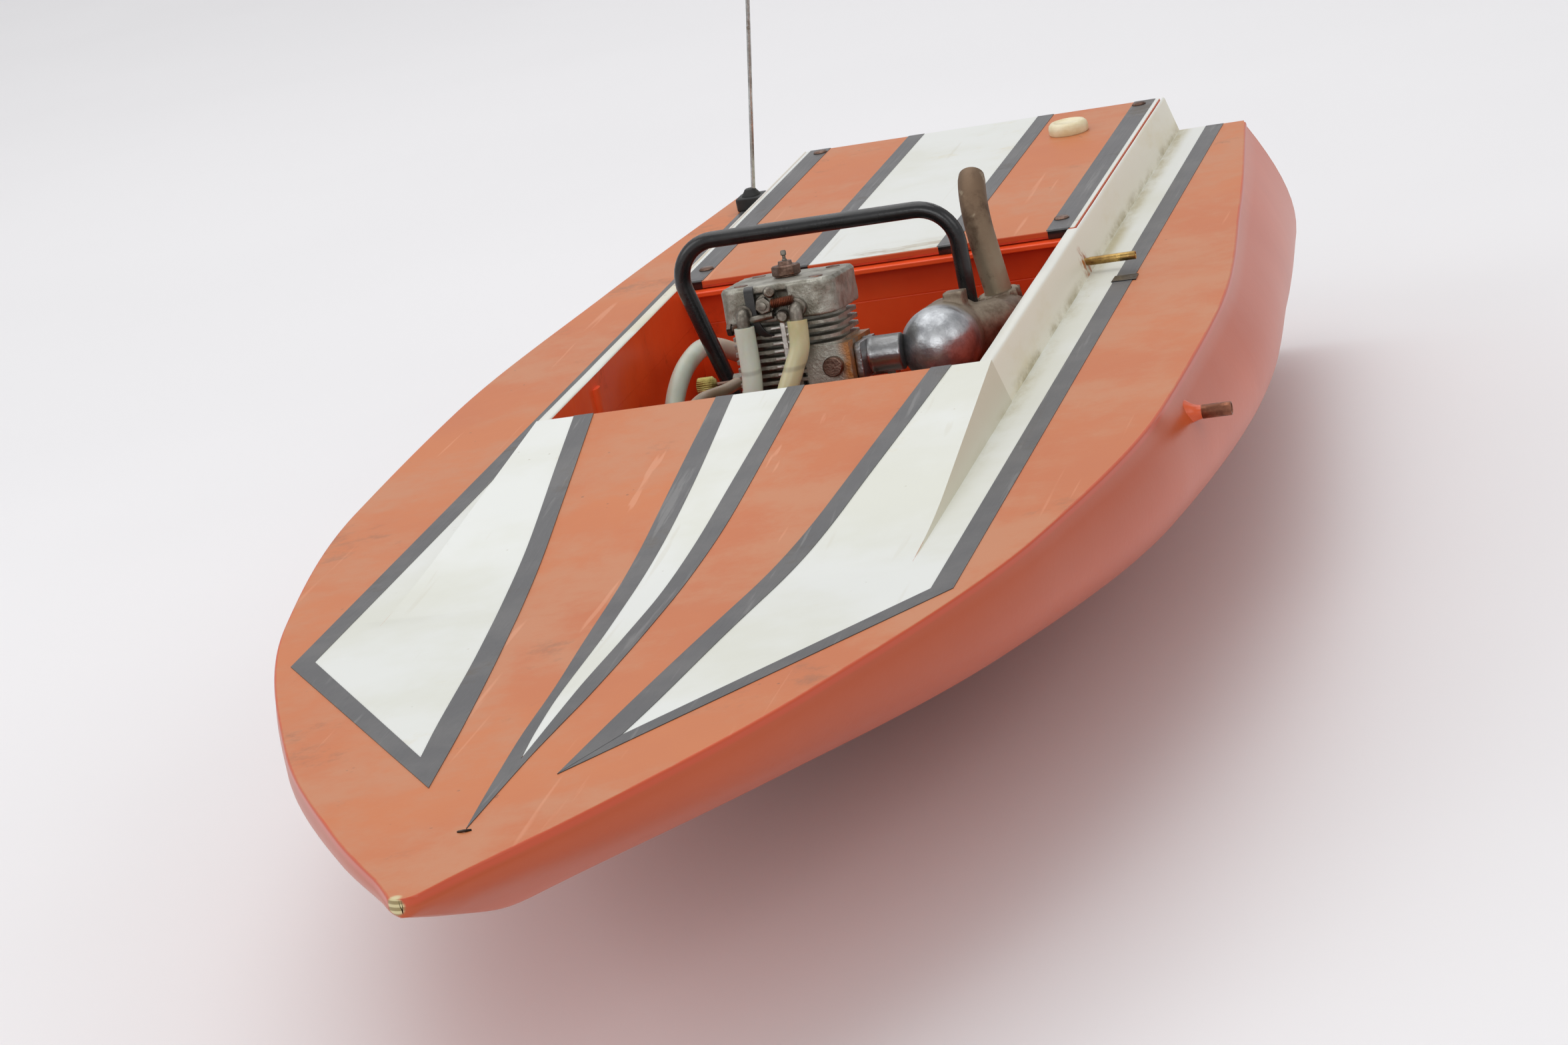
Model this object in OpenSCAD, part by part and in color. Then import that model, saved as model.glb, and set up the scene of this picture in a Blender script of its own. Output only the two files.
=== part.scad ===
// Radio-controlled deep-vee speedboat with a glow engine in an open bay.
// X is port, Y is aft, Z is up; the origin is on the flat of the keel, 100 mm ahead of the transom.

/* [Hull] */
// Length over the deck
hull_l = 800; // [780:1:820]
// Height of the deck above the keel
deck_h = 100; // [98:1:104]
// Widest beam at the deck
beam = 283; // [275:1:290]
// Hull skin thickness
skin_t = 3; // [2:0.5:4]
// Deck thickness
deck_t = 2.5; // [2:0.5:3]
// Width of the flat along the keel
keel_flat = 10; // [6:1:14]

/* [Cockpit and hatch] */
// Distance from the bow to the cockpit's front edge
bay_front = 392; // [390:1:394]
// Distance from the bow to the rear bulkhead
bay_rear = 578; // [576:1:580]
// Height of the raised top above the deck
rise = 15; // [14:0.5:16]
// Width between the coamings
bay_w = 150; // [148:1:152]
// Hatch width
hatch_w = 156; // [155:0.5:156.5]
// Hatch thickness
hatch_t = 3; // [2.5:0.5:3.5]

/* [Engine] */
// Distance from the bow to the crankshaft axis under the cylinder
engine_s = 455; // [453:1:457]
// Height of the crankshaft axis under the cylinder
crank_z = 70.3; // [70:0.1:71]
// Slope of the crankshaft and propeller shaft, in degrees
shaft_tilt = 7; // [6.8:0.1:7.2]
// Width of the water-cooled head
head_w = 41; // [40:1:42]
// Number of cooling fins
fin_count = 10; // [8:1:11]
// Flywheel diameter
flywheel_d = 40; // [36:1:42]

/* [Drive line] */
// Propeller shaft diameter
shaft_d = 5; // [4.5:0.5:5]
// Propeller diameter
prop_d = 44; // [38:1:46]

/* [Steering] */
// Rudder axis distance to starboard of the centre line
rudder_x = 42; // [41:1:43]
// Rudder axis distance from the bow
rudder_s = 826; // [825:1:828]
// Length of the rudder and servo arms
arm_r = 14; // [13:1:15]

/* [Fittings] */
// Roll bar rod diameter
bar_d = 6; // [5:0.5:6.5]
// Cooling hose diameter
hose_d = 7; // [6:0.5:7]
// Aerial height above the deck
aerial_h = 400; // [250:10:450]

/* [Hidden] */
$fn = 48;
gap = 0.3;         // clearance between pieces that only lie near each other
fit = 0.05;        // radial clearance of a running fit
ring_steps = 8;    // points down one side of a hull section

// Shape of the hull as [distance from the bow, value] pairs
half_beam = [[0, 0.01], [48, 0.244], [120, 0.53], [240, 0.845], [360, 0.979],
    [480, 1], [640, 0.915], [800, 0.792]];
keel_depth = [[0, 5], [60, 28], [140, 46], [240, 68], [360, 87], [480, 97.5], [580, 100], [800, 100]];
side_bulge = [[0, 1], [140, 5], [360, 14.5], [560, 22], [800, 31]];
side_share = [[0, 0.35], [140, 0.41], [360, 0.41], [560, 0.4], [800, 0.57]];
bilge_share = [[0, 0.8], [140, 0.84], [360, 1.06], [560, 1.22], [800, 1.15]];
deadrise = [[0, 30], [140, 16], [360, 16], [560, 18], [800, 7.5]];
stations = [0, 8, 20, 36, 56, 80, 110, 145, 185, 230, 280, 330, 380, 430, 480, 530, 580, 630,
    680, 730, 770, 797];

// Routes of the hoses as [sideways, distance from the bow, height]
hose_in_route = [[-52, 582, 80], [-54, 565, 86], [-57, 545, 95], [-58, 530, 99.5], [-58, 515, 101],
    [-59.5, 500, 98], [-61.5, 490, 90], [-60, 478, 81], [-52, 462, 77], [-42, 446, 76], [-30, 435, 77],
    [-20, 430, 84], [-16, 431, 96], [-14.2, 433, 108], [-14, 434.5, 117], [-14, 435.6, 127]];
hose_out_route = [[132, 386, 90], [120, 387, 89], [95, 390, 84], [60, 398, 80], [28, 410, 80],
    [8, 420, 83], [-4, 426, 92], [-2.5, 429, 102], [1.5, 432, 111], [4.5, 434, 118],
    [5, 435.6, 127]];
fuel_route = [[-12, 361, 70], [-12, 373, 74], [-16.5, 391, 84], [-27, 412, 92], [-39, 438, 98],
    [-41, 456, 98.5], [-35.5, 469, 97.6], [-34, 480.5, 96.6]];

deck_open = bay_w / 2 + 2.05; // half the width of the opening in the deck
wall_z = 60;       // lower edge of the bay's side walls
head_x = -2.5;     // centre of the head, from the cylinder's axis
head_y = -2;
arm_z = 79.4;      // underside of the servo and rudder arms
arm_t = 2.4;       // thickness of those arms
elbow_y = -26.2;   // the water fittings ahead of the cylinder axis
bar_s = 503;       // distance of the roll bar from the bow
bar_x = -1.5;      // middle of the roll bar
pipe_s = 516;      // distance of the exhaust pipe from the bow
pipe_x = 59.3;
stack_lean = 6.5;  // lean of the exhaust pipe to starboard
origin_s = 700;    // distance of the origin from the bow

function yb(s) = s - origin_s;

// Smooth curve through [position, value] pairs that never overshoots them
function slope(t, i) = (t[i + 1][1] - t[i][1]) / (t[i + 1][0] - t[i][0]);
function knot_slope(t, i) =
    i == 0 ? slope(t, 0) :
    i == len(t) - 1 ? slope(t, i - 1) :
    slope(t, i - 1) * slope(t, i) <= 0 ? 0 :
    2 / (1 / slope(t, i - 1) + 1 / slope(t, i));
function segment(t, s, i = 0) = (i >= len(t) - 2 || s < t[i + 1][0]) ? i : segment(t, s, i + 1);
function smooth(t, s) =
    let (i = segment(t, s), h = t[i + 1][0] - t[i][0], u = (s - t[i][0]) / h)
    (2 * u ^ 3 - 3 * u ^ 2 + 1) * t[i][1] + (u ^ 3 - 2 * u ^ 2 + u) * h * knot_slope(t, i)
    + (3 * u ^ 2 - 2 * u ^ 3) * t[i + 1][1] + (u ^ 3 - u ^ 2) * h * knot_slope(t, i + 1);

// Port half of the hull section at distance s from the bow, set in by t, as [x, z] points
function deck_x(s, t = 0) = let (w = smooth(half_beam, s) * beam / 2) max(w - t, 0.3 * w);
function bezier(a, b, c, d, u) =
    (1 - u) ^ 3 * a + 3 * (1 - u) ^ 2 * u * b + 3 * (1 - u) * u ^ 2 * c + u ^ 3 * d;
function section(s, t = 0) =
    let (w = deck_x(s, t), top = deck_h - deck_t,
        depth = max(smooth(keel_depth, s) - deck_t - t * 1.1, 0.3 * smooth(keel_depth, s)),
        flat = min(keel_flat / 2, w * 0.4), reach = smooth(bilge_share, s) * w,
        p0 = [w, top], p1 = [w + smooth(side_bulge, s), top - smooth(side_share, s) * depth],
        p2 = [reach, top - depth + (reach - flat) * tan(smooth(deadrise, s))],
        p3 = [flat, top - depth])
    [for (i = [0:ring_steps]) bezier(p0, p1, p2, p3, i / ring_steps)];
function mirrored(p) = [for (i = [len(p) - 1:-1:0]) [-p[i][0], p[i][1]]];
function full_section(s, t = 0) = concat(section(s, t), mirrored(section(s, t)));

// Closed body through rings of points, all with the same count
module loft(rings) {
    n = len(rings[0]);
    m = len(rings);
    points = [for (r = rings) for (p = r) p];
    sides = [for (j = [0:m - 2]) for (i = [0:n - 1])
        let (a = j * n + i, b = j * n + (i + 1) % n, c = b + n, d = a + n)
        for (f = [[a, b, c], [a, c, d]]) f];
    caps = [for (i = [0:n / 2 - 2]) let (p = n - 1 - i, e = (m - 1) * n)
        for (f = [[i, p, p - 1], [i, p - 1, i + 1],
            [e + i, e + p - 1, e + p], [e + i, e + i + 1, e + p - 1]]) f];
    polyhedron(points, concat(sides, caps));
}

// Round tube swept along a smooth curve through the route's points
function between(p, i, u) =
    let (a = p[max(i - 1, 0)], b = p[i], c = p[i + 1], d = p[min(i + 2, len(p) - 1)])
    0.5 * (2 * b + (c - a) * u + (2 * a - 5 * b + 4 * c - d) * u ^ 2 + (3 * b - a - 3 * c + d) * u ^ 3);
function unit(v) = v / norm(v);
function track(p, n) =
    concat([for (i = [0:len(p) - 2]) for (k = [0:n - 1]) between(p, i, k / n)], [p[len(p) - 1]]);
module sweep(route, d, steps = 3, sides = 10) {
    path = [for (p = track(route, steps)) [p[0], yb(p[1]), p[2]]];
    last = len(path) - 1;
    rings = [for (i = [0:last])
        let (t = unit(path[min(i + 1, last)] - path[max(i - 1, 0)]),
            side = unit(cross(t, abs(t[2]) > 0.9 ? [0, 1, 0] : [0, 0, 1])), up = cross(side, t))
        [for (k = [0:sides - 1])
            path[i] + d / 2 * (cos(360 * k / sides) * side + sin(360 * k / sides) * up)]];
    loft(rings);
}

// Helper frames
module at_engine() translate([0, yb(engine_s), crank_z]) rotate([-shaft_tilt, 0, 0]) children();
module at_stack() translate([pipe_x, yb(pipe_s), 97]) rotate([0, -stack_lean, 0]) children();
module along_y(y0, y1, d, x = 0, z = 0)
    translate([x, y0, z]) rotate([-90, 0, 0]) cylinder(d = d, h = y1 - y0);
module along_x(x0, x1, d, y = 0, z = 0)
    translate([x0, y, z]) rotate([0, 90, 0]) cylinder(d = d, h = x1 - x0);
module block(lo, hi) translate(lo) cube(hi - lo);
module round_plate(w, l, h, r) {
    linear_extrude(h) union() {
        square([w - 2 * r, l], center = true);
        square([w, l - 2 * r], center = true);
        for (x = [-1, 1], y = [-1, 1]) translate([x * (w / 2 - r), y * (l / 2 - r)]) circle(r = r);
    }
}
// Plate across the hull between two stations, from z0 to z1, clear of the skin
module frame_plate(s0, s1, z1) {
    outline = full_section(min(s0, s1), skin_t + gap);
    intersection() {
        translate([0, yb(s1), 0]) rotate([90, 0, 0]) linear_extrude(s1 - s0) polygon(outline);
        block([-150, yb(s0) - 1, 0], [150, yb(s1) + 1, z1]);
    }
}

/* ---- Hull and deck ---- */
module hull_shell() color("chocolate") {
    loft([for (s = stations)
        let (outer = full_section(s), inner = full_section(s, skin_t))
        [for (p = concat(outer, [for (i = [len(inner) - 1:-1:0]) inner[i]])) [p[0], yb(s), p[1]]]]);
}
module transom() color("chocolate") {
    outer = full_section(800);
    difference() {
        translate([0, yb(800), 0]) rotate([90, 0, 0]) linear_extrude(3) polygon(outer);
        at_engine() along_y(330, 360, 8.4);
        along_y(yb(790), yb(810), 6, -rudder_x + arm_r, 80.6);
        along_y(yb(790), yb(810), 5.2, 22, 22);
    }
}
module deck() color("sandybrown") {
    marks = [for (i = [0:40]) hull_l * (1 - cos(90 * i / 40))];
    port = [for (s = marks) [deck_x(s), yb(s)]];
    difference() {
        translate([0, 0, deck_h - deck_t]) linear_extrude(deck_t)
            polygon(concat(port, [for (i = [len(port) - 1:-1:0]) [-port[i][0], port[i][1]]]));
        block([-deck_open, yb(bay_front - 12), deck_h - 10], [deck_open, yb(790), deck_h + 10]);
    }
}
// Outer shape of the raised top: sloping sides with a ramp in front
module raised_outline(s0, s1) {
    side = [[-83.5, deck_h], [83.5, deck_h], [79.5, deck_h + rise], [-79.5, deck_h + rise]];
    intersection() {
        translate([0, yb(s1), 0]) rotate([90, 0, 0]) linear_extrude(s1 - s0) polygon(side);
        translate([-100, 0, 0]) rotate([90, 0, 90]) linear_extrude(200)
            polygon([[yb(250), deck_h], [yb(bay_front), deck_h + rise], [yb(800), deck_h + rise],
                [yb(800), deck_h]]);
    }
}
module foredeck_ramp() color("sandybrown") {
    difference() {
        raised_outline(250, bay_front);
        translate([-76, 0, 0]) rotate([90, 0, 90]) linear_extrude(152)
            polygon([[yb(280), deck_h - 1], [yb(280), deck_h + 0.6],
                [yb(bay_front + 1), deck_h + rise - 2.5], [yb(bay_front + 1), deck_h - 1]]);
    }
}
// Raised side of the bay, with a thin wall that hangs down from it through the deck opening
module coaming(side) {
    inner = bay_w / 2;
    wall_front = side > 0 ? bay_front + 10 : bay_front;
    difference() {
        union() {
            intersection() {
                raised_outline(bay_front, 800);
                if (side > 0) block([inner, yb(bay_front), deck_h], [85, yb(800), deck_h + rise]);
                else block([-85, yb(bay_front), deck_h], [-inner, yb(800), deck_h + rise]);
            }
            mirror([side > 0 ? 0 : 1, 0, 0])
                block([inner, yb(wall_front), wall_z], [inner + 2, yb(bay_rear - gap), deck_h + 1]);
        }
        block([-hatch_w / 2 - gap, yb(bay_rear - 6), deck_h + rise - hatch_t - gap],
            [hatch_w / 2 + gap, yb(801), deck_h + rise + 1]);
        if (side > 0) along_x(70, 90, 2.7, yb(560), 104.5);
    }
}
module coaming_port() color("beige") coaming(1);
module coaming_starboard() color("beige") coaming(-1);
module front_bulkhead() color("firebrick") {
    difference() {
        frame_plate(369, 372, deck_h - deck_t - gap);
        translate([0, yb(365), 72]) rotate([-90, 0, 0]) cylinder(d = 30, h = 10);
    }
}
module rear_bulkhead() color("firebrick") {
    difference() {
        union() {
            frame_plate(bay_rear, bay_rear + 3, deck_h - deck_t - gap);
            block([-bay_w / 2 + gap, yb(bay_rear), deck_h - deck_t - gap],
                [bay_w / 2 - gap, yb(bay_rear + 3), deck_h + rise - hatch_t - gap]);
            block([-bay_w / 2 + gap, yb(bay_rear - 10), deck_h + rise - hatch_t - gap - 2],
                [bay_w / 2 - gap, yb(bay_rear + 6), deck_h + rise - hatch_t - gap]);
        }
        at_engine() along_y(110, 135, 8.4);
        along_y(yb(570), yb(590), hose_d + 3, -52.5, 81);
        along_y(yb(570), yb(590), 6, 24, 80.8);
    }
}
module stern_panel() color("chocolate") {
    block([-bay_w / 2 + gap, yb(797), deck_h + 0.05],
        [bay_w / 2 - gap, yb(800), deck_h + rise - hatch_t - gap]);
}
module engine_bearers() color("firebrick") {
    for (x = [-1, 1]) {
        difference() {
            at_engine() block([x * 23 - 6, -90, -14], [x * 23 + 6, 130, -2.55]);
            block([-40, yb(300), 0], [40, yb(372.3), 120]);
            block([-40, yb(bay_rear - gap), 0], [40, yb(620), 120]);
            at_engine() along_y(44, 60, flywheel_d + 3);
        }
    }
}
// Cross frames: two under the fuel tank and one under the roll bar
module hull_frames() color("firebrick") {
    for (s = [300, 350]) frame_plate(s, s + 3, 49.9);
    difference() {
        frame_plate(bar_s - 3, bar_s + 3, 58);
        block([-29.6, yb(bar_s - 5), 34], [29.6, yb(bar_s + 5), 70]);
    }
}
module radio_tray() color("burlywood") {
    difference() {
        block([-85, yb(bay_rear + 3.3), 64], [85, yb(796.7), 67]);
        block([-52.4, yb(724.6), 60], [-31.6, yb(766.4), 70]);
        block([27.6, yb(629.6), 60], [48.4, yb(671.4), 70]);
        translate([-70, yb(610), 60]) cylinder(d = 24, h = 10);
    }
}

/* ---- Engine ---- */
module crankcase() color("darkgray") at_engine() {
    difference() {
        union() {
            along_y(-17, 17, 34);
            block([-17, -17, 0], [17, 17, 26]);
            block([-30, -15, -2.5], [30, 15, 2.5]);
            along_y(17, 30, 26);
            along_y(30, 44, 18);
            translate([0, 27, 8]) cylinder(d = 15, h = 11);
        }
        along_y(-18, 8, 28);
        along_y(7, 45, 10 + 2 * fit);
        translate([0, 0, 10]) cylinder(d = 24, h = 20);
        translate([0, 27, 4]) cylinder(d = 7, h = 20);
    }
}
module backplate() color("gray") at_engine() {
    along_y(-20, -17, 34);
    along_y(-21.5, -20, 20);
    for (a = [45:90:315]) rotate([0, a, 0]) along_y(-22, -20, 4, 13);
}
module finned_cylinder() color("darkgray") at_engine() {
    pitch = 27 / fin_count;
    difference() {
        union() {
            translate([0, 0, 26]) cylinder(d = 31, h = 28);
            for (i = [0:fin_count - 1]) translate([head_x, head_y, 26.8 + i * pitch])
                round_plate(head_w - 2.5, 36.5, 1.2, 6);
            block([-2, -20.2, 27], [2, -14, 54]);
            block([4, -20.6, 28.5], [20, 12, 43.4]);
        }
        translate([0, 0, 25]) cylinder(d = 22, h = 30);
        along_x(12, 24, 9, 0, 35.5);
        along_y(12, 22, 8, 14, 36);
    }
}
module cylinder_head() color("silver") at_engine() {
    difference() {
        translate([head_x, head_y, 54]) round_plate(head_w, 40, 13, 7);
        translate([head_x, head_y, 50]) cylinder(d = 6.4, h = 30);
        block([-11, -23, 53], [2, -17.5, 65]);
        head_screw_places() cylinder(d = 6, h = 5);
    }
}
module head_screw_places() {
    for (x = [-1, 1], y = [-1, 1]) translate([head_x + x * 13.5, head_y + y * 12.5, 65.4]) children();
}
// Head screws and the bolts that hold the exhaust flange
module engine_bolts() color("dimgray") at_engine() {
    head_screw_places() translate([0, 0, 0.1]) difference() {
        cylinder(d = 5.4, h = 1.8);
        translate([0, 0, 0.8]) cylinder(d = 2.9, h = 2, $fn = 6);
    }
    along_y(-24, -20.65, 7, 14, 36);
    along_y(12.05, 15, 7, 14, 36);
}
module glow_plug() color("saddlebrown") at_engine() translate([head_x, head_y, 0]) {
    translate([0, 0, 56]) cylinder(d = 6.2, h = 11.2);
    translate([0, 0, 67.1]) cylinder(d = 10.4, h = 4, $fn = 6);
    translate([0, 0, 71]) cylinder(d = 5, h = 1.6);
    translate([0, 0, 72.5]) cylinder(d = 2, h = 3.8);
}
module elbow(x) {
    along_y(elbow_y, -22.05, 5, x, 58);
    translate([x, elbow_y, 58]) sphere(d = 5.4);
    translate([x, elbow_y, 51]) cylinder(d = 4.6, h = 7);
}
module elbow_socket(x) at_engine() translate([x, elbow_y, 50.5]) cylinder(d = 4.8, h = 12);
module water_elbows() color("peru") at_engine() {
    elbow(-14);
    elbow(5);
}
module hose_in() color("lightgray") difference() {
    sweep(hose_in_route, hose_d);
    elbow_socket(-14);
}
module hose_out() color("wheat") difference() {
    sweep(hose_out_route, hose_d);
    elbow_socket(5);
    along_x(127.5, 136, 4.7, yb(386), 90);
}
module carburettor() color("dimgray") at_engine() {
    difference() {
        union() {
            translate([0, 27, 19.1]) cylinder(d = 15, h = 16);
            translate([0, 27, 35]) cylinder(d = 17, h = 4);
            along_x(-34, -5, 4.4, 27, 29.2);
            along_x(-36, -31, 6, 27, 29.2);
            translate([-34, 21, 29.2]) rotate([-90, 0, 0]) cylinder(d = 3.4, h = 5);
        }
        along_x(-3, 12, 9 + 2 * fit, 27, 27);
        translate([0, 27, 18]) cylinder(d = 6.5, h = 22);
        along_x(-40, -20, 1.6 + 2 * fit, 27, 29.2);
    }
}
module needle_valve() color("goldenrod") at_engine() {
    along_x(-43, -21, 1.6, 27, 29.2);
    difference() {
        along_x(-50, -42.6, 6.6, 27, 29.2);
        for (a = [0:30:330]) translate([-51, 27, 29.2]) rotate([a, 0, 0]) translate([0, 0, 3.5])
            rotate([0, 90, 0]) cylinder(d = 0.9, h = 7, $fn = 16);
    }
}
module throttle_lever() color("silver") at_engine() {
    difference() {
        union() {
            along_x(-2.9, 10, 9, 27, 27);
            along_x(10, 21, 4, 27, 27);
            along_x(21, 24, 8, 27, 27);
            hull() {
                along_x(22, 24, 7, 27, 27);
                along_x(22, 24, 5, 27, 12);
            }
        }
        translate([0, 27, 20]) cylinder(d = 6, h = 14);
        along_x(20, 26, 1.8, 27, 12);
    }
}
module exhaust_manifold() color("gray") at_engine() {
    difference() {
        union() {
            along_x(20.05, 34, 13, 0, 35.5);
            block([20.05, -15, 29], [22.5, 10, 42]);
        }
        along_x(19, 34, 9, 0, 35.5);
    }
}
module muffler() color("gray") difference() {
    union() {
        at_engine() {
            along_y(8, 33, 27, 45, 35);
            translate([45, 8, 35]) sphere(d = 27);
            translate([45, 33, 35]) rotate([-90, 0, 0]) cylinder(d1 = 27, d2 = 20, h = 4);
            block([46, 20, 45], [53, 28, 51.5]);
        }
        hull() {
            translate([50, yb(484), 101]) sphere(d = 19, $fn = 32);
            translate([62, yb(499), 100]) sphere(d = 17, $fn = 32);
        }
        hull() {
            translate([62, yb(499), 100]) sphere(d = 17, $fn = 32);
            translate([pipe_x + 1, yb(pipe_s), 99]) sphere(d = 17, $fn = 32);
        }
    }
    at_engine() {
        along_y(8, 33, 24, 45, 35);
        translate([45, 8, 35]) sphere(d = 24);
        along_x(26, 40, 13.1, 0, 35.5);
    }
    at_stack() {
        translate([0, 0, -2]) cylinder(d = 10.1, h = 20);
        translate([0, 0, 6.5]) cylinder(d = 24, h = 8);
    }
}
module exhaust_clamp() color("gray") at_stack() translate([0, 0, 6.6]) difference() {
    union() {
        cylinder(d = 14, h = 5);
        for (a = [0:30:330]) rotate([0, 0, a]) translate([7, 0, 0]) cylinder(d = 1.6, h = 5, $fn = 16);
    }
    translate([0, 0, -1]) cylinder(d = 10.2, h = 8);
}
// Round bar that rises and then turns aft
module stack(d, extra) {
    bend_r = 24;
    straight = 31.5;
    translate([0, 0, -extra]) cylinder(d = d, h = straight + extra);
    translate([0, bend_r, straight]) rotate([90, 0, -90])
        rotate_extrude(angle = 60 + extra) translate([bend_r, 0]) circle(d = d);
}
module exhaust_pipe() color("rosybrown") at_stack() difference() {
    stack(10, 0);
    stack(8, 1);
}

/* ---- Fuel and water ---- */
module fuel_tank() color("whitesmoke") {
    difference() {
        block([-34, yb(292), 50], [34, yb(358), 86]);
        block([-32, yb(294), 52], [32, yb(356), 84]);
    }
    along_y(yb(357), yb(366), 3, -12, 70);
}
module fuel_line() color("lightyellow") difference() {
    sweep(fuel_route, 4.4, 3, 8);
    at_engine() along_y(15, 27, 3.5, -34, 29.2);
    along_y(yb(350), yb(367), 3.1, -12, 70);
}
module hull_outlet_tube() color("sienna") difference() {
    union() {
        along_x(128, 146.5, 4.2, yb(386), 90);
        along_x(146.5, 156, 4.6, yb(386), 90);
    }
    along_x(127, 157, 3.2, yb(386), 90);
}
module outlet_cone() color("orangered") translate([139.5, yb(386), 90]) rotate([0, 90, 0]) difference() {
    cylinder(d1 = 13, d2 = 6, h = 7);
    translate([0, 0, -1]) cylinder(d = 4.7, h = 10);
}
module coaming_tube() color("darkgoldenrod") difference() {
    union() {
        along_x(72, 84, 2.6, yb(560), 104.5);
        along_x(84, 101, 3.1, yb(560), 104.5);
    }
    along_x(71, 102, 2, yb(560), 104.5);
}
module water_pickup() color("darkgoldenrod") {
    difference() {
        union() {
            along_y(yb(794), yb(822), 5, 22, 22);
            translate([22, yb(820), 6]) cylinder(d = 5, h = 16);
            translate([22, yb(820), 22]) sphere(d = 5);
        }
        along_y(yb(793), yb(818), 3.2, 22, 22);
        translate([22, yb(820), 5]) cylinder(d = 3.2, h = 14);
    }
}

/* ---- Drive line ---- */
module crankshaft() color("silver") at_engine() {
    along_y(-12, -5, 26);
    along_y(-5.1, 52, 10);
    along_y(-15.5, -11.9, 5, 8);
}
module flywheel() color("silver") at_engine() difference() {
    union() {
        along_y(46, 58, flywheel_d);
        along_y(44.5, 60, 18);
    }
    along_y(44, 52.05, 10);
    difference() {
        along_y(54.5, 59, flywheel_d - 8);
        along_y(54, 61, 18);
    }
    for (a = [0:60:300]) rotate([0, a, 0]) along_y(45, 60, 4, 12.5);
}
module coupling() color("dimgray") at_engine() {
    along_y(60.05, 68, 15);
    along_y(68, 74, 11, 0, 0);
    along_y(74, 82, 15);
}
module prop_shaft() color("silver") at_engine() along_y(82.05, 389, shaft_d);
module stuffing_tube() color("darkgoldenrod") at_engine() difference() {
    along_y(88, 350, 8);
    along_y(87, 351, shaft_d + 2 * fit);
}
module strut() color("darkgoldenrod") {
    difference() {
        union() {
            at_engine() along_y(351, 366, 11);
            block([-2.5, yb(801), 22], [2.5, yb(812), 50]);
            block([-11, yb(800.05), 34], [11, yb(803), 54]);
        }
        at_engine() along_y(340, 370, shaft_d + 2 * fit);
        at_engine() along_y(330, 350.5, 8.6);
        for (x = [-1, 1]) along_y(yb(799), yb(804), 3.2, x * 7, 49);
    }
}
module propeller() color("goldenrod") at_engine() translate([0, 376, 0]) {
    difference() {
        union() {
            along_y(-7, 7, 10);
            for (a = [0, 180]) rotate([0, a, 0]) intersection() {
                translate([0, 0, prop_d / 4 + 1]) rotate([0, 0, 55])
                    translate([-0.9, 0, 0]) rotate([0, 90, 0]) cylinder(d = prop_d / 2 + 1, h = 1.8);
                along_y(-12, 12, prop_d);
            }
        }
        along_y(-8, 8, shaft_d);
    }
}
module prop_nut() color("goldenrod") at_engine() difference() {
    union() {
        translate([0, 383.05, 0]) rotate([-90, 0, 0]) cylinder(d = 8.5, h = 4.5, $fn = 6);
        translate([0, 387.5, 0]) rotate([-90, 0, 0]) cylinder(d1 = 8, d2 = 4, h = 4);
    }
    along_y(382, 389, shaft_d);
}

/* ---- Steering ---- */
module rudder_bracket() color("silver") {
    difference() {
        union() {
            block([-rudder_x - 9, yb(800.05), 62], [-rudder_x + 9, yb(803), 78]);
            block([-rudder_x - 4.5, yb(803), 66], [-rudder_x + 4.5, yb(rudder_s - 4), 74]);
            translate([-rudder_x, yb(rudder_s), 66]) cylinder(d = 10, h = 8);
        }
        translate([-rudder_x, yb(rudder_s), 60]) cylinder(d = 5 + 2 * fit, h = 20);
        for (x = [-1, 1]) along_y(yb(799), yb(804), 3.2, -rudder_x + x * 6.6, 70);
    }
}
module rudder() color("silver") translate([-rudder_x, yb(rudder_s), 0]) {
    translate([0, 0, 58]) cylinder(d = 5, h = 27);
    translate([0, 0, 58]) cylinder(d = 9, h = 7.6);
    translate([-1.25, 0, 0]) rotate([90, 0, 90]) linear_extrude(2.5)
        polygon([[-10, 58.5], [-8, 40], [-7, 6], [20, 3], [24, 40], [22, 60], [-4, 60]]);
}
module flat_arm(bore, hub) {
    difference() {
        union() {
            cylinder(d = hub, h = arm_t);
            translate([0, -2.5, 0]) cube([arm_r, 5, arm_t]);
            translate([arm_r, 0, 0]) cylinder(d = 5, h = arm_t);
        }
        translate([0, 0, -1]) cylinder(d = bore, h = 5);
        translate([arm_r, 0, -1]) cylinder(d = 1.8, h = 5);
    }
}
module rudder_arm() color("black") translate([-rudder_x, yb(rudder_s), arm_z]) flat_arm(5, 10);
// Arm with its output shaft, which stops just above the servo's boss
module servo_arm() {
    flat_arm(2, 9);
    translate([0, 0, -1.3]) cylinder(d = 7, h = 2);
}
module rudder_servo_arm() color("white") translate([-rudder_x, yb(735), arm_z]) servo_arm();
module throttle_servo_arm() color("white") translate([24 + arm_r, yb(640), arm_z]) mirror([1, 0, 0])
    servo_arm();
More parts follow.
